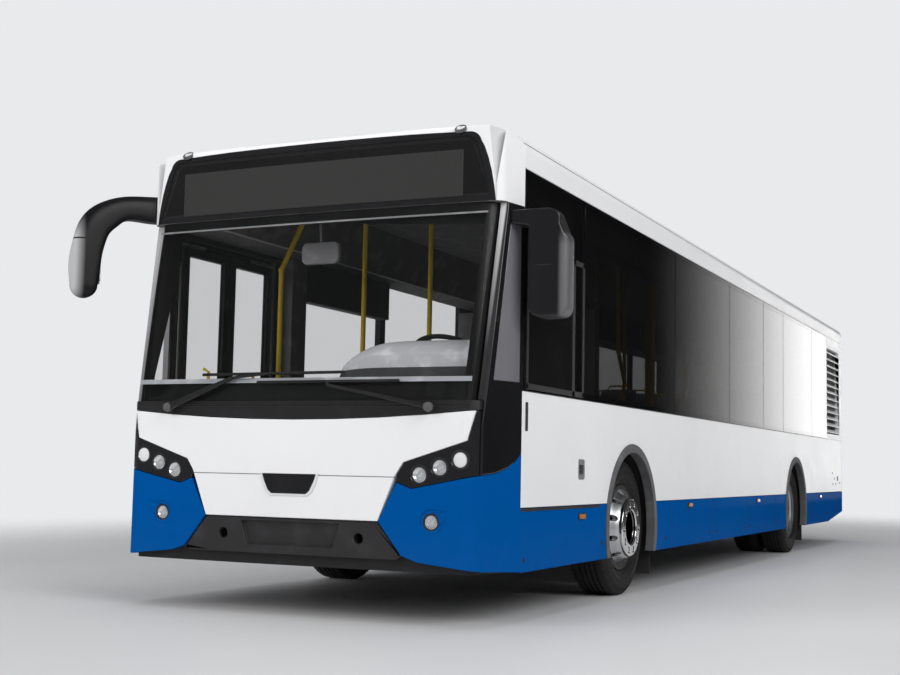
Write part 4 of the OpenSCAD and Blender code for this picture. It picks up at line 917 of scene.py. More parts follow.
class BUS_OT_body_panels(bpy.types.Operator):
    """Paint the outer panels and round their edges"""

    bl_idname = "bus.body_panels"
    bl_label = "Body panels"

    def execute(self, context):
        panel, moulding = sizes().panel_edge, sizes().moulding_edge
        for node, coat, edge in (
                ("roof_unit", "white_paint", moulding), ("front_panel", "white_paint", 0.5 * moulding),
                ("engine_hatch", "white_paint", panel), ("side_vent", "white_paint", 0.5 * panel),
                ("skirts", "blue_paint", panel), ("bumper_corners", "blue_paint", panel),
                ("rear_bumper", "blue_paint", panel), ("headlamp_housings", "gloss_black", panel),
                ("door_portals", "gloss_black", panel), ("windscreen_frame", "frit_black", 0),
                ("window_posts", "black_plastic", 0), ("cowl", "black_plastic", panel),
                ("bumper_centre", "dark_plastic", moulding), ("arch_trims", "trim_rubber", 1.5 * panel)):
            skin(node, (coat,), edge)

        def lined(centre, normal):
            inward = abs(centre.y) < SIDE - 0.05 and normal.y * centre.y < -0.2 * abs(centre.y)
            return 1 if inward or normal.z < -0.9 and centre.z > GLASS_TOP else 0

        for node in ("waist_panels", "roof", "cant_rails", "rear_end"):
            skin(node, ("white_paint", "dark_lining"), 0 if node == "roof" else panel, 2, lined)
        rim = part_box("display_glass")[0].z + 0.002
        apex, slope = self.apex(1), Vector((0.4601, 0.8819, 0.1032))

        def domed(centre, normal):
            if centre.x > CORNER + 0.20 and centre.z < rim and abs(centre.y) < SIDE - 0.11:
                return 2
            off = (apex - Vector((centre.x, abs(centre.y), centre.z))).dot(slope)
            # The facet in each hollow corner takes painted shade, a greyer white
            if abs(off) < 0.003 and normal.x > 0.3 and centre.z > DOME_LOW + 0.06:
                return 3
            return 1 if normal.z < -0.9 or normal.x < -0.3 else 0

        skin("front_dome", ("white_paint", "dark_lining", "gloss_black", "recess_paint"), panel, pick=domed,
             tool=self.wedges())
        # The pillars' forward faces above the sill take the grey with painted highlight and shade
        skin("corner_posts", ("gloss_black", "pillar_grey"), panel,
             pick=lambda centre, normal: 1 if normal.x > 0.8 and centre.z > SILL else 0)
        gutters, high = Shape(), 2.788
        for side in (1, -1):
            gutters.tube([(TAIL + 0.29, side * (SIDE - 0.011), high), (CORNER, side * (SIDE - 0.011), high),
                          (CORNER + 0.13, side * (SIDE - 0.038), high)], 0.0035, 8)
        gutters.build("gutters", ("shell_plastic",))
        return {"FINISHED"}

    def apex(self, side):
        """Foot of the hollow in a corner of the dome, where its faces meet."""
        return Vector((NOSE - 0.203, side * (SIDE - 0.089), DOME_LOW + 0.022))

    def wedges(self):
        """Two wedges that hollow the dome's corners between the display's box and the leaning pillars."""
        wedge = Shape()
        for side in (1, -1):
            apex = self.apex(side)
            head = [Vector((NOSE - back, side * (SIDE - inset), 2.834))
                    for back, inset in ((0.146, 0.166), (0.330, 0.070), (0.174, 0.010))]
            wedge.faces([apex] + [apex + 1.24 * (p - apex) for p in head],
                        [(0, 1, 2), (0, 2, 3), (0, 3, 1), (1, 2, 3)])
        return wedge.mesh("wedges")


class BUS_OT_glazing(bpy.types.Operator):
    """Glaze the windows, the windscreen and the destination display"""

    bl_idname = "bus.glazing"
    bl_label = "Glazing"

    def execute(self, context):
        def tinted(centre, normal):
            if centre.x > CORNER:
                # The left front corner's pane takes the grey of a painted reflection
                return 2 if centre.y > 0 else 1
            return 1 if centre.y < 0.9 - SIDE else 0

        skin("side_glass", ("side_pane", "clear_pane", "quarter_pane"), 0.0015, 1, tinted)
        skin("windscreen", ("front_pane",), 0.0015, 1)
        skin("display_glass", ("display_screen",), 0.001, 1)
        low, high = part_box("display_glass")
        tree = dome_tree()
        foot = DOME_LOW + 0.001
        edge = display_edge(((1.190, foot), (1.178, 2.500), (1.162, 2.585), (1.142, 2.660), (1.116, 2.732)),
                            1.098, foot, 2.842, 0.070, 0.018)
        hole = display_edge(((1.163, low.z + 0.004), (1.144, 2.500), (1.120, 2.585), (1.099, 2.660), (1.079, 2.732)),
                            1.073, low.z + 0.004, high.z - 0.004, 0.060, 0.0)
        lines = [[(a + (c - a) * t, b + (d - b) * t) for (a, b), (c, d) in zip(edge, hole)]
                 for t in (0, 0.15, 0.3, 0.5, 0.75, 1)]
        mask = Shape()
        mask.band(lines, lambda u, v, h: dome_point(tree, u, v, h - 0.004), 0.0058, closed=True)
        mask.build("display_mask", ("gloss_black",))
        film = Shape()
        row = [-0.985 + 1.97 * i / 16 for i in range(17)]
        film.band([[(y, z) for y in row] for z in (2.446, 2.722)],
                  lambda u, v, h: Vector((nose_x(u) + high.x - NOSE + h, u, v)), 0.0008)
        film.build("display_film", ("display_panel",))
        return {"FINISHED"}


class BUS_OT_front_lamps(bpy.types.Operator):
    """Build the bowls, projectors, covers and rings of the headlamps and fog lamps"""

    bl_idname = "bus.front_lamps"
    bl_label = "Front lamps"

    def execute(self, context):
        bowls, rings, covers = Shape(), Shape(), Shape()
        outer = max(high.y for low, high in islands("lamp_lenses"))
        for low, high in islands("lamp_lenses"):
            seat = (high.z - low.z) / 2
            r = 0.84 * seat
            c = Vector((high.x, (low.y + high.y) / 2, (low.z + high.z) / 2))
            back = low.x - high.x
            frosted = max(abs(low.y), abs(high.y)) > outer - 0.01
            bowls.lathe([(0, back * 0.9), (r * 0.35, back * 0.85), (r * 0.78, back * 0.42), (r - 0.003, 0), (r, -0.001),
                         (r, back), (0, back)], c, "X", 40)
            if not frosted:
                bowls.lathe([(0, -0.003), (r * 0.22, -0.004), (r * 0.40, -0.009), (r * 0.44, -0.013),
                             (r * 0.44, back * 0.8), (0, back * 0.8)], c, "X", 32, number=1)
            covers.lathe([(0, 0.005), (r * 0.5, 0.0035), (r * 0.85, 0.0), (r - 0.001, -0.003), (r - 0.001, -0.006),
                          (r * 0.85, -0.003), (r * 0.5, 0.0005), (0, 0.002)], c, "X", 40, number=1 if frosted else 0)
            rings.lathe([(r - 0.002, back), (r, 0.001), (r + 0.003, 0.003), (seat + 0.004, 0.001),
                         (seat + 0.006, -0.004), (seat, -0.006), (seat, back)], c, "X", 40, True)
        bowls.build("lamp_bowls", ("reflector", "disc_silver"), replaces=("lamp_lenses",))
        covers.build("lamp_covers", ("lamp_glass", "diffuser"))
        rings.build("lamp_rings", ("black_plastic",))
        return {"FINISHED"}


class BUS_OT_tail_lamps(bpy.types.Operator):
    """Build the tail lamps' domed lenses and rings"""

    bl_idname = "bus.tail_lamps"
    bl_label = "Tail lamps"

    def execute(self, context):
        lenses, rings = Shape(), Shape()
        boxes = islands("tail_lamps")
        amber = sorted({round(low.z, 3) for low, high in boxes})[-1]
        for low, high in boxes:
            r = (high.z - low.z) / 2
            c = Vector((low.x, (low.y + high.y) / 2, (low.z + high.z) / 2))
            depth = high.x - low.x
            lenses.lathe([(0, -0.006), (r * 0.3, -0.0055), (r * 0.32, -0.0035), (r * 0.62, -0.003), (r * 0.64, -0.001),
                          (r - 0.001, 0.001), (r - 0.001, depth), (0, depth)], c, "X", 40,
                         number=1 if round(low.z, 3) == amber else 0)
            rings.lathe([(r, 0.004), (r, -0.002), (r + 0.003, -0.004), (r + 0.007, -0.002), (r + 0.008, 0.004)],
                        c, "X", 40, True)
        lenses.build("tail_lenses", ("tail_red", "amber_lens"), replaces=("tail_lamps",))
        rings.build("tail_rings", ("polished",))
        plate("rear_plate", "diffuser", rounded(0.52, 0.115, 0.012),
              lambda u, v, h: Vector((TAIL - h, u, 0.60 + v)), 0.006, edge=0.001)
        return {"FINISHED"}


class BUS_OT_wheels(bpy.types.Operator):
    """Build the tyres with their grooves and shoulder blocks, and finish the rims"""

    bl_idname = "bus.wheels"
    bl_label = "Wheels"

    def tyre(self, shape, low, high):
        """Adds one tyre and returns its centre, radius and half width."""
        s = sizes()
        centre, r, w = (low + high) / 2, (high.z - low.z) / 2, (high.y - low.y) / 2
        side = [(r - 0.1935, 0.096), (r - 0.174, 0.097), (r - 0.160, 0.116), (r - 0.146, w - 0.014),
                (r - 0.138, w - 0.006), (r - 0.132, w - 0.0075), (r - 0.106, w), (r - 0.100, w + 0.0015),
                (r - 0.096, w), (r - 0.076, w - 0.001), (r - 0.058, w - 0.005), (r - 0.054, w - 0.004),
                (r - 0.050, w - 0.0075), (r - 0.040, w - 0.010), (r - 0.020, w - 0.017), (r - 0.006, w - 0.028),
                (r, w - 0.044)]
        tread, half = [], w - 0.044
        for i in range(s.tread_grooves):
            g = half * (1 - 2 * (i + 1) / (s.tread_grooves + 1))
            tread += [(r, g + 0.0065), (r - s.tread_depth, g + 0.0045), (r - s.tread_depth, g - 0.0045),
                      (r, g - 0.0065)]
        profile = side + tread + [(a, -d) for a, d in reversed(side)]
        shape.lathe(profile, centre, "Y", 96, True)
        return centre, r, w

    def shoulder(self, r, w):
        """One pair of shoulder blocks at the wheel's front."""
        block = Shape()
        for side in (1, -1):
            outer = [(r - 0.046, w - 0.0058), (r - 0.022, w - 0.0135), (r - 0.006, w - 0.0245), (r + 0.0005, w - 0.040)]
            inner = [(a - 0.006, d - 0.006) for a, d in outer]
            points = [Vector((a, side * d, t)) for t in (-0.0085, 0.0085) for a, d in outer + inner]
            faces = [(0, 1, 5, 4), (1, 2, 6, 5), (2, 3, 7, 6), (8, 9, 13, 12), (9, 10, 14, 13), (10, 11, 15, 14),
                     (0, 1, 9, 8), (1, 2, 10, 9), (2, 3, 11, 10), (4, 5, 13, 12), (5, 6, 14, 13), (6, 7, 15, 14),
                     (0, 4, 12, 8), (3, 7, 15, 11)]
            block.faces(points, faces)
        return block.mesh("shoulder")

    def execute(self, context):
        for name in ("tyre_front_left", "tyre_front_right", "tyres_rear_left", "tyres_rear_right"):
            body = NODES[name]["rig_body"]
            shape = Shape()
            blocks = bmesh.new()
            for low, high in islands(name):
                centre, r, w = self.tyre(shape, low, high)
                ring = grow(ring_tree(), self.shoulder(r, w), {
                    "Count": sizes().shoulder_blocks, "Centre": centre, "Finish": finish("tyre_rubber")})
                blocks.from_mesh(ring)
            shape.build("visual_" + name, ("tyre_rubber",), body, (name,), smooth=28)
            set_piece("shoulders_" + name, stored(blocks, "shoulders"), ("tyre_rubber",), body, smooth=20)
        for name in ("rim_front_left", "rim_front_right"):
            low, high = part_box(name)

            def part(centre, normal, middle=(low + high) / 2, tip=max(high.y, -low.y)):
                reach = math.hypot(centre.x - middle.x, centre.z - middle.z)
                if abs(centre.y) > tip - 0.0265 and 0.118 < reach < 0.207:
                    return 1
                return 2 if reach < 0.121 else 0

            skin(name, ("disc_silver", "polished", "cast_iron"), 0.002, 2, part)
        for name in ("rims_rear_left", "rims_rear_right"):
            low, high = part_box(name)

            def ring(centre, normal, middle=(low + high) / 2):
                return 1 if math.hypot(centre.x - middle.x, centre.z - middle.z) < 0.125 else 0

            skin(name, ("disc_silver", "cast_iron"), 0.002, 2, ring)
        return {"FINISHED"}


class BUS_OT_mirrors(bpy.types.Operator):
    """Round the mirror housings and set their glass and covers"""

    bl_idname = "bus.mirrors"
    bl_label = "Mirrors"

    def execute(self, context):
        base = linked("base", stored(merged("mirror_left"), "visual_mirror_left"))
        voxel = base.modifiers.new("Even mesh", "REMESH")
        voxel.mode = "VOXEL"
        voxel.voxel_size = 0.006
        ease = base.modifiers.new("Ease", "SMOOTH")
        ease.factor = 0.5
        ease.iterations = 24
        soft = evaluated(base)
        bpy.data.objects.remove(base)
        soft.materials.clear()
        set_piece("visual_mirror_left", soft, ("mirror_plastic",), replaces=("mirror_left",), smooth=60)
        low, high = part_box("mirror_left")
        plate("mirror_cap", "mirror_plastic", rounded(0.185, 0.330, 0.05, 8),
              lambda u, v, h: Vector((high.x - 0.061 - 0.13 * u + h, high.y - 0.145 + u, high.z - 0.176 + v)), 0.026,
              edge=0.010, segments=4)
        self.horn().build("visual_mirror_right", ("horn_plastic",), replaces=("mirror_right",), smooth=60)
        glass = Shape()
        glass.prism(rounded(0.17, 0.40, 0.03),
                    lambda u, v, h: Vector((low.x - 0.001 - h, high.y - 0.125 + u, low.z + 0.25 + v)), 0.006)
        across = Vector((-HORN_RUN.y, HORN_RUN.x, 0))
        glass.prism(rounded(0.062, 0.24, 0.020),
                    lambda u, v, h: HORN_ROOT + HORN_RUN * (0.402 - h) + across * u + Vector((0, 0, 2.12 + v)), 0.007)
        glass.build("mirror_glass", ("polished",), edge=0.001)
        return {"FINISHED"}

    def horn(self):
        """The right mirror's horn as one smooth sweep along its bend, flat on the side of its glass."""
        knots = [Vector(k) for k in (
            (-0.060, 0.115, 0.088), (0.064, 0.108, 0.088), (0.247, 0.097, 0.079), (0.368, 0.034, 0.094),
            (0.441, -0.046, 0.099), (0.479, -0.178, 0.097), (0.493, -0.293, 0.097), (0.494, -0.420, 0.084))]
        rows = []
        for i in range(len(knots) - 1):
            a, b, c, d = (knots[min(max(k, 0), len(knots) - 1)] for k in range(i - 1, i + 3))
            for t in (k / 8 for k in range(8)):
                p = 0.5 * (2 * b + (c - a) * t + (2 * a - 5 * b + 4 * c - d) * t * t
                           + (3 * b - a - 3 * c + d) * t ** 3)
                rows.append((p.x, p.y, p.z, 0.056))
        end = knots[-1]
        for a in (math.pi / 2 * k / 10 for k in range(10)):
            rows.append((end.x, end.y - end.z * math.sin(a), end.z * math.cos(a), 0.056 * math.cos(a) ** 0.7))
        across = Vector((-HORN_RUN.y, HORN_RUN.x, 0))
        low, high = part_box("mirror_right")
        rings = []
        for i, (run, rise, wide, thick) in enumerate(rows):
            before, after = rows[max(i - 1, 0)], rows[min(i + 1, len(rows) - 1)]
            along = Vector((after[0] - before[0], after[1] - before[1])).normalized()
            ring = []
            for a in (2 * math.pi * k / 28 for k in range(28)):
                power = 0.8 if math.cos(a) > 0 else 0.4
                u = math.copysign(abs(math.cos(a)) ** power, math.cos(a)) * wide
                v = math.copysign(abs(math.sin(a)) ** power, math.sin(a)) * thick
                p = (HORN_ROOT + HORN_RUN * (run - along.y * u) + across * v
                     + Vector((0, 0, DOME_LOW + rise + along.x * u)))
                ring.append((min(p.x, high.x), max(p.y, low.y), p.z))
            rings.append(ring)
        horn = Shape()
        horn.sweep(rings)
        return horn


class BUS_OT_wipers(bpy.types.Operator):
    """Finish the wipers and set the caps and covers of their arms"""

    bl_idname = "bus.wipers"
    bl_label = "Wipers"

    def execute(self, context):
        skin("wipers", ("seal_rubber",), 0, 2, None, 60)
        caps = Shape()
        for y in (-0.871, 0.905):
            caps.lathe([(0, 0.012), (0.016, 0.011), (0.025, 0.006), (0.028, -0.014), (0, -0.014)],
                       Vector((nose_x(y) + 0.050, y, 1.216)), "X", 24)
        caps.build("wiper_caps", ("trim_rubber",))
        covers = Shape()
        for start, end, wide in (((-0.871, 1.216), (-0.420, 1.392), 0.022), ((0.905, 1.216), (0.620, 1.270), 0.013)):
            start, end = Vector(start), Vector(end)
            side = Vector((start.y - end.y, end.x - start.x)).normalized() * wide
            sides = [[start + s * side, start.lerp(end, 0.5) + 0.8 * s * side, end + 0.5 * s * side] for s in (1, -1)]
            covers.band(sides, lambda u, v, h: screen_point(u, v, -0.016 - h), 0.026)
        covers.build("wiper_covers", ("black_plastic",), edge=0.006, segments=3)
        return {"FINISHED"}


class BUS_OT_doors(bpy.types.Operator):
    """Finish the door leaves: frames, panes, edge rubbers and handles, and their posts"""

    bl_idname = "bus.doors"
    bl_label = "Doors"

    def execute(self, context):
        for node in sorted(n for n in NODES if n.startswith("door_leaf")):
            low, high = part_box(node)
            body = NODES[node]["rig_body"]

            def glazed(centre, normal, low=low):
                return 1 if abs(normal.y) > 0.9 and abs(centre.y - low.y - 0.020) < 0.012 else 0

            skin(node, ("gloss_black", "clear_pane"), 0.003, 2, glazed)
            handle = Shape()
            x = (low.x + high.x) / 2
            z = low.z + 0.85
            y = high.y + 0.006
            handle.tube([(x, y - 0.012, z - 0.30), (x, y + 0.028, z - 0.28), (x, y + 0.028, z + 0.28),
                         (x, y - 0.012, z + 0.30)], 0.011)
            handle.build("handle_" + node, ("pole_yellow",), body)
        for node in sorted(n for n in NODES if n.startswith("door_post")):
            skin(node, ("bare_steel",), 0.001)
        seals = Shape()
        for x0, x1 in DOORWAYS:
            for z0, z1 in ((2.3305, 2.370), (0.346, 0.389)):
                seals.block((x0, 0.001 - SIDE, z0), (x1, 0.006 - SIDE, z1))
        seals.build("door_seals", ("seal_rubber",))
        return {"FINISHED"}


class BUS_OT_seats(bpy.types.Operator):
    """Build the seat shells, their crowned cushions and hand grips at every place"""

    bl_idname = "bus.seats"
    bl_label = "Seats"

    def execute(self, context):
        places = []
        for low, high in islands("seats"):
            count = max(1, round((high.y - low.y) / 0.435))
            step = (high.y - low.y) / count
            places += [(high.x - 0.018, low.y + step * (i + 0.5), low.z) for i in range(count)]
        profile = [(0, 0.010), (0.016, 0.036), (0.008, 0.046), (-0.04, 0.052), (-0.37, 0.030), (-0.415, 0.070),
                   (-0.482, 0.615), (-0.497, 0.640), (-0.52, 0.630), (-0.464, 0.058), (-0.43, 0.010), (-0.38, 0)]
        shell = Shape()
        shell.prism(profile, lambda u, v, h: Vector((u, h - 0.205, v)), 0.41)
        at_places("seat_shells", shell, places, "shell_plastic", edge=0.010, replaces=("seats",))
        crown = sizes().seat_crown
        pad = Shape()
        seat, back = (
            Matrix.Translation(place) @ Matrix.Rotation(math.radians(lean), 4, "Y")
            @ Matrix.Rotation(math.pi / 2, 4, "Z")
            for place, lean in (((-0.195, 0, 0.056), -3.8), ((-0.440, 0, 0.350), 83)))
        pad.pillow(seat, 0.375, 0.34, 0.034, crown, (-0.35, 0.35))
        pad.pillow(back, 0.375, 0.50, 0.030, crown * 0.8, (-0.4, 0.0, 0.4))
        cushions = at_places("seat_cushions", pad, places, "seat_cloth", smooth=70)
        grip = Shape()
        grip.tube([(-0.505, -0.12, 0.60), (-0.507, -0.12, 0.655), (-0.507, -0.10, 0.675), (-0.507, 0.10, 0.675),
                   (-0.507, 0.12, 0.655), (-0.505, 0.12, 0.60)], 0.011, 8)
        at_places("seat_grips", grip, places, "pole_yellow", smooth=60)
        return {"FINISHED"}


class BUS_OT_cabin(bpy.types.Operator):
    """Finish the saloon and the driver's place"""

    bl_idname = "bus.cabin"
    bl_label = "Cabin"

    def execute(self, context):
        self.desk()
        skin("steering_wheel", ("black_plastic",), 0.002, 2, None, 50)
        skin("driver_cab", ("lining",), 0.006)
        # Black rubber on the floor's sides and underside and on the front bulkhead: underbody colour that is also
        # painted shade under the bumper
        skin("floor", ("floor_vinyl", "seal_rubber"), 0.002,
             pick=lambda centre, normal: 0 if normal.z > 0.5 else 1)
        skin("front_bulkhead", ("seal_rubber",), 0)
        skin("grab_poles", ("pole_yellow",), 0, 2, None, 60)
        mirror = Shape()
        mirror.prism(rounded(0.27, 0.14, 0.04), lambda u, v, h: Vector((5.40 + h, -0.125 + u, 2.21 + v)), 0.035)
        mirror.tube([(5.42, -0.125, 2.27), (5.44, -0.125, 2.45), (5.45, -0.125, CEILING)], 0.010)
        mirror.build("inside_mirror", ("lining",), edge=0.008, segments=3)
        outline = [(1.13, DOME_LOW - 0.012), (0.17, DOME_LOW - 0.012), (0.20, 2.36), (0.34, 2.325), (0.60, 2.312),
                   (1.12, 2.285)]
        plate("sun_blind", "black_plastic", outline, lambda u, v, h: screen_point(u, v, 0.085 + h), 0.006, edge=0.002)
        rods = Shape()
        for path in (((2.60, 0.9, 1.36), (2.382, 0.9, 1.563), (2.567, 0.9, 1.828), (2.567, 0.9, CEILING)),
                     ((1.615, 0.9, 1.36), (1.615, 0.9, CEILING)),
                     ((0.76, 0.9, 1.36), (0.728, 0.9, 1.459), (0.283, 0.9, 2.209), (0.283, 0.9, CEILING)),
                     ((-0.10, 0.9, 1.36), (-0.129, 0.9, 1.753), (-0.479, 0.9, 2.216), (-0.479, 0.9, CEILING))):
            rods.tube(path, 0.016)
        rods.build("window_rods", ("pole_yellow",), smooth=60)
        self.ducts()
        return {"FINISHED"}

    def desk(self):
        """The driver's desk: its hood falls away in a round towards the middle of the bus."""
        bm = merged("dashboard")
        # Height where the hood starts to rise, where its round begins across the bus, how far the round runs, and
        # the height where the pale hood meets the dark foot
        top, turn, reach, split = 1.42, 0.60, 0.37, 1.450

        def cut(place, normal):
            bmesh.ops.bisect_plane(bm, geom=bm.verts[:] + bm.edges[:] + bm.faces[:], plane_co=place, plane_no=normal)

        for y in (0.302, 0.305, 0.31, 0.32, 0.335, 0.36, 0.40, 0.45, 0.51, 0.58):
            cut((0, y, 0), (0, 1, 0))
        cut((0, 0, split), (0, 0, 1))
        for face in bm.faces:
            face.material_index = 0 if face.calc_center_median().z > split else 1
        for vert in bm.verts:
            if vert.co.z > top:
                if vert.co.y < turn:
                    vert.co.y = turn - (turn - vert.co.y) * 1.217
                round_off = 1 - max(0.0, (turn - vert.co.y) / reach) ** 2.6
                vert.co.z = top + (vert.co.z - top) * 1.14 * max(0.03, round_off) ** 0.385
        bmesh.ops.recalc_face_normals(bm, faces=bm.faces)
        set_piece("visual_dashboard", stored(bm, "visual_dashboard"), ("dash_plastic", "desk_dark"),
                  replaces=("dashboard",), edge=0.004, segments=3)

    def ducts(self):
        """Air ducts along the ceiling with their light strips, the door pillar's casing and the side display."""
        ducts, strips = Shape(), Shape()
        x0, x1 = TAIL + 0.50, CORNER - 0.06
        outline = [(SIDE - 0.063, 2.410), (1.0, 2.437), (0.80, CEILING - 0.002), (SIDE - 0.063, CEILING - 0.002)]
        for side in (1, -1):
            ducts.prism(outline, lambda u, v, h, side=side: Vector((x0 + h, side * u, v)), x1 - x0)
            strips.tube([(x0 + 0.05, side * 0.996, 2.440), (x1 - 0.05, side * 0.996, 2.440)], 0.007, 8)
        ducts.block((3.960, 0.063 - SIDE, SEAT_FOOT), (4.165, 0.155 - SIDE, 2.420))
        ducts.build("ceiling_ducts", ("dark_lining",), edge=0.006)
        strips.build("light_strips", ("diffuser",))
        box = Shape()
        box.block((2.640, 0.066 - SIDE, 2.115), (3.930, 0.165 - SIDE, 2.430))
        box.build("side_display_case", ("black_plastic",), edge=0.010, segments=3)
        plate("side_display_film", "display_panel", rounded(1.20, 0.22, 0.012),
              lambda u, v, h: Vector((3.285 + u, 0.066 - SIDE - h, 2.272 + v)), 0.002)


class BUS_OT_side_trim(bpy.types.Operator):
    """Set joint lines and a painted shadow line, markers, locks, caps, the filler flap and the driver's window frame on
    the sides
    """

    bl_idname = "bus.side_trim"
    bl_label = "Side trim"

    def on_side(self, side, x, z):
        """Maps (u, v, h) onto a side at a place: u forward, v up and h outwards."""
        return lambda u, v, h: Vector((x + u, side * (SIDE + h), z + v))

    def execute(self, context):
        line, thin = sizes().joint_line, 0.0012
        joint_and_painted_shadow_lines, lamps, holders, dark = Shape(), Shape(), Shape(), Shape()
        tall, middle = SKIRT_TOP - SKIRT_LOW - 0.02, (SKIRT_TOP + SKIRT_LOW) / 2
        for side, places in ((1, (2.36, 1.05, -0.30, -1.60, -3.62)), (-1, (2.36, -1.60, -3.62))):
            for x in places:
                joint_and_painted_shadow_lines.prism(rounded(line, tall, line / 3, 1), self.on_side(side, x, middle), thin)
        for side, places in ((1, ((4.43, 0.585), (1.80, 0.612), (-0.75, 0.612), (-4.24, 0.612))),
                             (-1, ((1.80, 0.612), (-0.95, 0.612), (-4.24, 0.612)))):
            for x, z in places:
                holders.prism(rounded(0.125, 0.042, 0.012), self.on_side(side, x, z), 0.006)
                lamps.prism(rounded(0.105, 0.026, 0.008), self.on_side(side, x, z), 0.013)
        # Dark strip over the skirt, from the left front wheel's arch to the corner: a painted shadow under the white
        # panel's overhang
        arch = 4.06
        joint_and_painted_shadow_lines.prism(rounded(CORNER - arch - 0.006, 0.018, 0.004, 1),
                     self.on_side(1, (CORNER + arch) / 2, SKIRT_TOP - 0.009), thin)
        # The real dark joints and the painted shadow line are built as one piece
        joint_and_painted_shadow_lines.build("skirt_joints", ("seal_rubber",))
        holders.build("marker_holders", ("black_plastic",), edge=0.002)
        lamps.build("side_markers", ("amber_lens",), edge=0.003)
        bolt = Shape()
        bolt.lathe([(0, 0.006), (0.009, 0.0055), (0.014, 0.003), (0.015, -0.002), (0, -0.002)], Vector(), "Y", 16)
        spots = [(x, SIDE, z) for x, z in (
            (5.40, 0.36), (4.02, 0.40), (2.50, 0.37), (1.15, 0.37), (0.95, 0.37), (-0.20, 0.37), (-0.40, 0.37),
            (-1.70, 0.37), (-3.70, 0.40), (-4.60, 0.40))]
        at_places("skirt_locks", bolt, spots, "seal_rubber")
        flush = Shape()
        flush.lathe([(0, 0.004), (0.010, 0.0035), (0.013, 0.001), (0.014, -0.002), (0, -0.002)], Vector(), "Y", 14)
        spots = [(x, SIDE, z) for x, z in ((-5.15, 0.90), (-5.18, 0.76), (-5.32, 0.83), (-5.40, 0.76), (-5.72, 0.77))]
        at_places("service_caps", flush, spots, "dark_plastic")
        dark.prism(rounded(0.032, 0.168, 0.008), self.on_side(1, 5.395, 1.185), 0.006)
        dark.prism(rounded(0.060, 0.060, 0.010), self.on_side(1, -5.55, 0.83), 0.004)
        dark.build("side_grip", ("black_plastic",), edge=0.002)
        plate("filler_flap", "disc_silver", rounded(0.120, 0.130, 0.018), self.on_side(1, 4.44, 0.885), 0.002,
              edge=0.001)
        plate("filler_catch", "black_plastic", rounded(0.052, 0.060, 0.010), self.on_side(1, 4.45, 0.885), 0.008,
              edge=0.002)
        self.window_frame()
        return {"FINISHED"}

    def window_frame(self):
        """Sliding frame of the driver's window, proud of the glass."""
        bars = Shape()
        x0, x1, z0, z1, w = 4.425, 5.42, 1.345, 2.222, 0.034
        for low, high in (((x0, z0), (x1, z0 + w)), ((x0, z1 - w), (x1, z1)), ((x0, z0), (x0 + w, z1)),
                          ((x1 - w, z0), (x1, z1)), ((4.60, z0), (4.645, z1))):
            bars.prism(rectangle(low, high), lambda u, v, h: Vector((u, SIDE + h, v)), 0.007)
        bars.build("driver_window_frame", ("black_plastic",), edge=0.002)


class BUS_OT_front_trim(bpy.types.Operator):
    """Set the blank badge plate, the panel joint, the cowl's ribs, the screen strips and the dome's markers"""

    bl_idname = "bus.front_trim"
    bl_label = "Front trim"

    def execute(self, context):
        def on_nose(u, v, h):
            return Vector((nose_x(u) + h, u, v))

        top, low = 0.828, 0.712
        badge = [(-0.184, top), (-0.168, top - 0.045), (-0.142, low + 0.020), (-0.118, low), (0.118, low),
                 (0.142, low + 0.020), (0.168, top - 0.045), (0.184, top)]
        plate("badge_rim", "diffuser", [(u * 1.085, v + (0.005 if v > 0.8 else -0.013)) for u, v in badge], on_nose,
              0.006, edge=0.003)
        plate("badge_plate", "gloss_black", badge, on_nose, 0.009, edge=0.003)
        joint = Shape()
        for y0, y1 in ((-0.68, -0.19), (0.19, 0.70)):
            joint.tube([on_nose(y0 + (y1 - y0) * i / 8, 0.822, 0.0) for i in range(9)], 0.0022, 6)
        joint.build("front_joint", ("trim_rubber",))
        ribs = Shape()
        for z in (1.236, 1.222):
            ribs.tube([on_nose(-1.13 + 2.26 * i / 16, z, -0.003) for i in range(17)], 0.004, 8)
        ribs.build("cowl_ribs", ("black_plastic",))
        strip = Shape()
        for low, high, half, number in ((1.362, 1.390, 1.14, 0), (2.338, 2.349, 1.15, 1)):
            row = [half * (i / 8 - 1) for i in range(17)]
            strip.band([[(y, z) for y in row] for z in (low, high)],
                       lambda u, v, h: screen_point(u, v, 0.001 - h), 0.0035, number)
        strip.build("screen_strip", ("shell_plastic", "lining"))
        rings, lamps = Shape(), Shape()
        tree = dome_tree()
        tilt = math.radians(40)
        for y in (-0.965, 0.965):
            place = dome_point(tree, y, 2.846)
            rings.lathe([(0.026, -0.012), (0.026, 0.004), (0.031, 0.008), (0.036, 0.004), (0.037, -0.012)],
                        place, "Z", 32, True, tilt=tilt)
            lamps.lathe([(0, 0.006), (0.014, 0.005), (0.0262, 0.001), (0.0262, -0.012), (0, -0.012)],
                        place, "Z", 24, tilt=tilt)
        rings.build("dome_marker_rings", ("trim_rubber",))
        lamps.build("dome_markers", ("diffuser",))
        return {"FINISHED"}


class BUS_OT_running_gear(bpy.types.Operator):
    """Finish the axles, knuckles, springs, housings and flaps"""

    bl_idname = "bus.running_gear"
    bl_label = "Running gear"

    def execute(self, context):
        for node, coat, edge in (
                ("front_axle", "cast_iron", 0.004), ("rear_axle", "cast_iron", 0.004),
                ("air_springs", "seal_rubber", 0), ("mud_flaps", "seal_rubber", 0.001),
                ("wheel_housings", "seal_rubber", 0), ("engine", "cast_iron", 0.02),
                ("knuckle_left", "bare_steel", 0.003), ("knuckle_right", "bare_steel", 0.003)):
            skin(node, (coat,), edge)
        return {"FINISHED"}


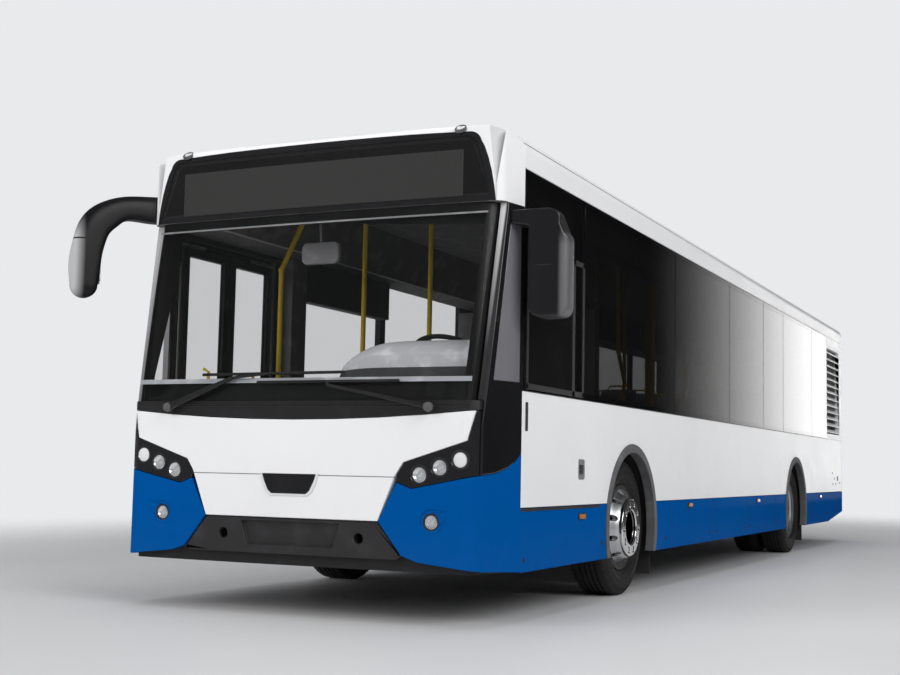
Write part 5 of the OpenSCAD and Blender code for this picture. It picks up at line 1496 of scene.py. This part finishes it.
class BUS_OT_stage(bpy.types.Operator):
    """Lay the floor, light the studio and set the camera"""

    bl_idname = "bus.stage"
    bl_label = "Stage"

    def execute(self, context):
        self.floor()
        self.card()
        self.lights()
        self.world()
        self.camera()
        context.scene.view_settings.view_transform = "Standard"
        return {"FINISHED"}

    def floor(self):
        """A wide pale floor with a faint sheen."""
        mesh = bpy.data.meshes.new("studio_floor")
        half = 90.0
        mesh.from_pydata([(-half, -half, 0), (half, -half, 0), (half, half, 0), (-half, half, 0)], [], [(0, 1, 2, 3)])
        floor = linked("studio_floor", mesh)
        f = Finish("studio_floor")
        tone = bpy.context.scene.bus_studio.floor_tone
        drift = f.noise(0.25, 3)
        near = f.add("ShaderNodeMapping", {"Vector": f.place, "Scale": (0.55, 1, 1)}).outputs["Vector"]
        reach = f.add("ShaderNodeVectorMath", {0: near}, operation="LENGTH").outputs["Value"]
        fade = f.add("ShaderNodeMapRange", {
            "Value": reach, "From Min": 3.4, "From Max": 11.0, "To Min": 1.0, "To Max": 0.0},
            interpolation_type="SMOOTHERSTEP").outputs["Result"]
        f.set(Base_Color=f.blend(drift, shade(tone, 0.97), shade(tone, 1.03)), Roughness=f.spread(drift, 0.42, 0.52),
              Alpha=fade)
        mesh.materials.append(f.material)

    def card(self):
        """A tall card on the left, seen only in reflections: dark beside the front and bright towards the tail."""
        mesh = bpy.data.meshes.new("studio_card")
        mesh.from_pydata([(-60, 6.5, 0), (4, 6.5, 0), (4, 6.5, 9), (-60, 6.5, 9)], [], [(0, 1, 2, 3)])
        card = linked("studio_card", mesh)
        material = bpy.data.materials.new("studio_card")
        material.use_nodes = True
        tree = material.node_tree
        tree.nodes.clear()
        glow = tree.nodes.new("ShaderNodeEmission")
        surface = tree.nodes.new("ShaderNodeOutputMaterial")
        place = tree.nodes.new("ShaderNodeTexCoord")
        parts = tree.nodes.new("ShaderNodeSeparateXYZ")
        ramp = tree.nodes.new("ShaderNodeMapRange")
        ramp.interpolation_type = "SMOOTHSTEP"
        for key, value in (("From Min", -14.0), ("From Max", -35.0), ("To Min", 0.0), ("To Max", 3.6)):
            ramp.inputs[key].default_value = value
        join(tree, (place.outputs["Object"], parts.inputs["Vector"]), (parts.outputs["X"], ramp.inputs["Value"]),
             (ramp.outputs["Result"], glow.inputs["Strength"]), (glow.outputs["Emission"], surface.inputs["Surface"]))
        mesh.materials.append(material)
        card.visible_camera = False
        card.visible_diffuse = False
        card.visible_shadow = False
        card.visible_transmission = False

    def lights(self):
        """Three large soft lights."""
        studio = bpy.context.scene.bus_studio
        for name, place, aim, size, power in (
                ("key_light", (9, 11, 8), (1, 1, 1), (10, 7), studio.key_power),
                ("top_light", (0, 0, 9.5), (0, 0, 0), (16, 7), studio.top_power),
                ("fill_light", (15, -6, 5), (5, 0, 1), (7, 6), studio.fill_power)):
            data = bpy.data.lights.new(name, "AREA")
            data.shape = "RECTANGLE"
            data.size, data.size_y = size
            data.energy = power
            lamp = linked(name, data)
            lamp.location = place
            lamp.rotation_euler = (Vector(aim) - Vector(place)).to_track_quat("-Z", "Y").to_euler()
            lamp.visible_camera = False
            lamp.visible_glossy = name == "key_light"

    def world(self):
        """Pale surroundings: plain light on the object, and a lighter backdrop for the camera and in gloss."""
        world = bpy.data.worlds.new("studio")
        bpy.context.scene.world = world
        world.use_nodes = True
        tree = world.node_tree
        tree.nodes.clear()
        surface = tree.nodes.new("ShaderNodeOutputWorld")
        path = tree.nodes.new("ShaderNodeLightPath")

        def glow(strength):
            node = tree.nodes.new("ShaderNodeBackground")
            node.inputs["Color"].default_value = (0.97, 0.98, 1.0, 1)
            node.inputs["Strength"].default_value = strength
            return node.outputs[0]

        def mixed(factor, a, b):
            node = tree.nodes.new("ShaderNodeMixShader")
            join(tree, (factor, node.inputs[0]), (a, node.inputs[1]), (b, node.inputs[2]))
            return node.outputs[0]

        backdrop = 0.84
        around = mixed(path.outputs["Is Glossy Ray"], glow(0.42), glow(0.12))
        through = mixed(path.outputs["Is Transmission Ray"], around, glow(backdrop))
        join(tree, (mixed(path.outputs["Is Camera Ray"], through, glow(backdrop)), surface.inputs["Surface"]))

    def camera(self):
        """The camera, set as the photograph was taken."""
        studio = bpy.context.scene.bus_studio
        data = bpy.data.cameras.new("camera")
        data.lens = studio.lens
        data.sensor_width = 36.0
        data.shift_x = -0.0043
        data.shift_y = 0.0041
        data.clip_end = 300
        yaw, pitch, roll = studio.yaw, studio.pitch, studio.roll
        ahead = Vector((math.cos(yaw) * math.cos(pitch), math.sin(yaw) * math.cos(pitch), math.sin(pitch)))
        right = Vector((math.sin(yaw), -math.cos(yaw), 0))
        up = right.cross(ahead)
        across = right * math.cos(roll) + up * math.sin(roll)
        above = up * math.cos(roll) - right * math.sin(roll)
        turn = Matrix((across, above, -ahead)).transposed().to_4x4()
        camera = linked("camera", data)
        camera.matrix_world = Matrix.Translation(studio.eye) @ turn
        bpy.context.scene.camera = camera


OPERATORS = (
    BUS_OT_body_panels, BUS_OT_glazing, BUS_OT_front_lamps, BUS_OT_tail_lamps, BUS_OT_wheels, BUS_OT_mirrors,
    BUS_OT_wipers, BUS_OT_doors, BUS_OT_seats, BUS_OT_cabin, BUS_OT_side_trim, BUS_OT_front_trim, BUS_OT_running_gear,
    BUS_OT_stage)


class BUS_PT_dressing(bpy.types.Panel):
    """Lists the steps and settings of the bus"""

    bl_label = "City Bus"
    bl_idname = "BUS_PT_dressing"
    bl_space_type = "VIEW_3D"
    bl_region_type = "UI"
    bl_category = "City Bus"

    def draw(self, context):
        for operator in OPERATORS:
            self.layout.operator(operator.bl_idname)
        for group in (context.scene.bus_colours, context.scene.bus_sizes, context.scene.bus_studio):
            column = self.layout.column()
            for key in group.bl_rna.properties.keys():
                if key not in ("rna_type", "name"):
                    column.prop(group, key)


CLASSES = (BusColours, BusSizes, BusStudio, *OPERATORS, BUS_PT_dressing)


def register():
    """Registers the classes and their settings."""
    for cls in CLASSES:
        bpy.utils.register_class(cls)
    bpy.types.Scene.bus_colours = PointerProperty(type=BusColours)
    bpy.types.Scene.bus_sizes = PointerProperty(type=BusSizes)
    bpy.types.Scene.bus_studio = PointerProperty(type=BusStudio)


def unregister():
    """Removes the classes and their settings."""
    del bpy.types.Scene.bus_studio
    del bpy.types.Scene.bus_sizes
    del bpy.types.Scene.bus_colours
    for cls in reversed(CLASSES):
        bpy.utils.unregister_class(cls)


def main():
    """Builds everything in order."""
    register()
    for operator in OPERATORS:
        group, step = operator.bl_idname.split(".")
        getattr(getattr(bpy.ops, group), step)()


if __name__ == "__main__":
    main()
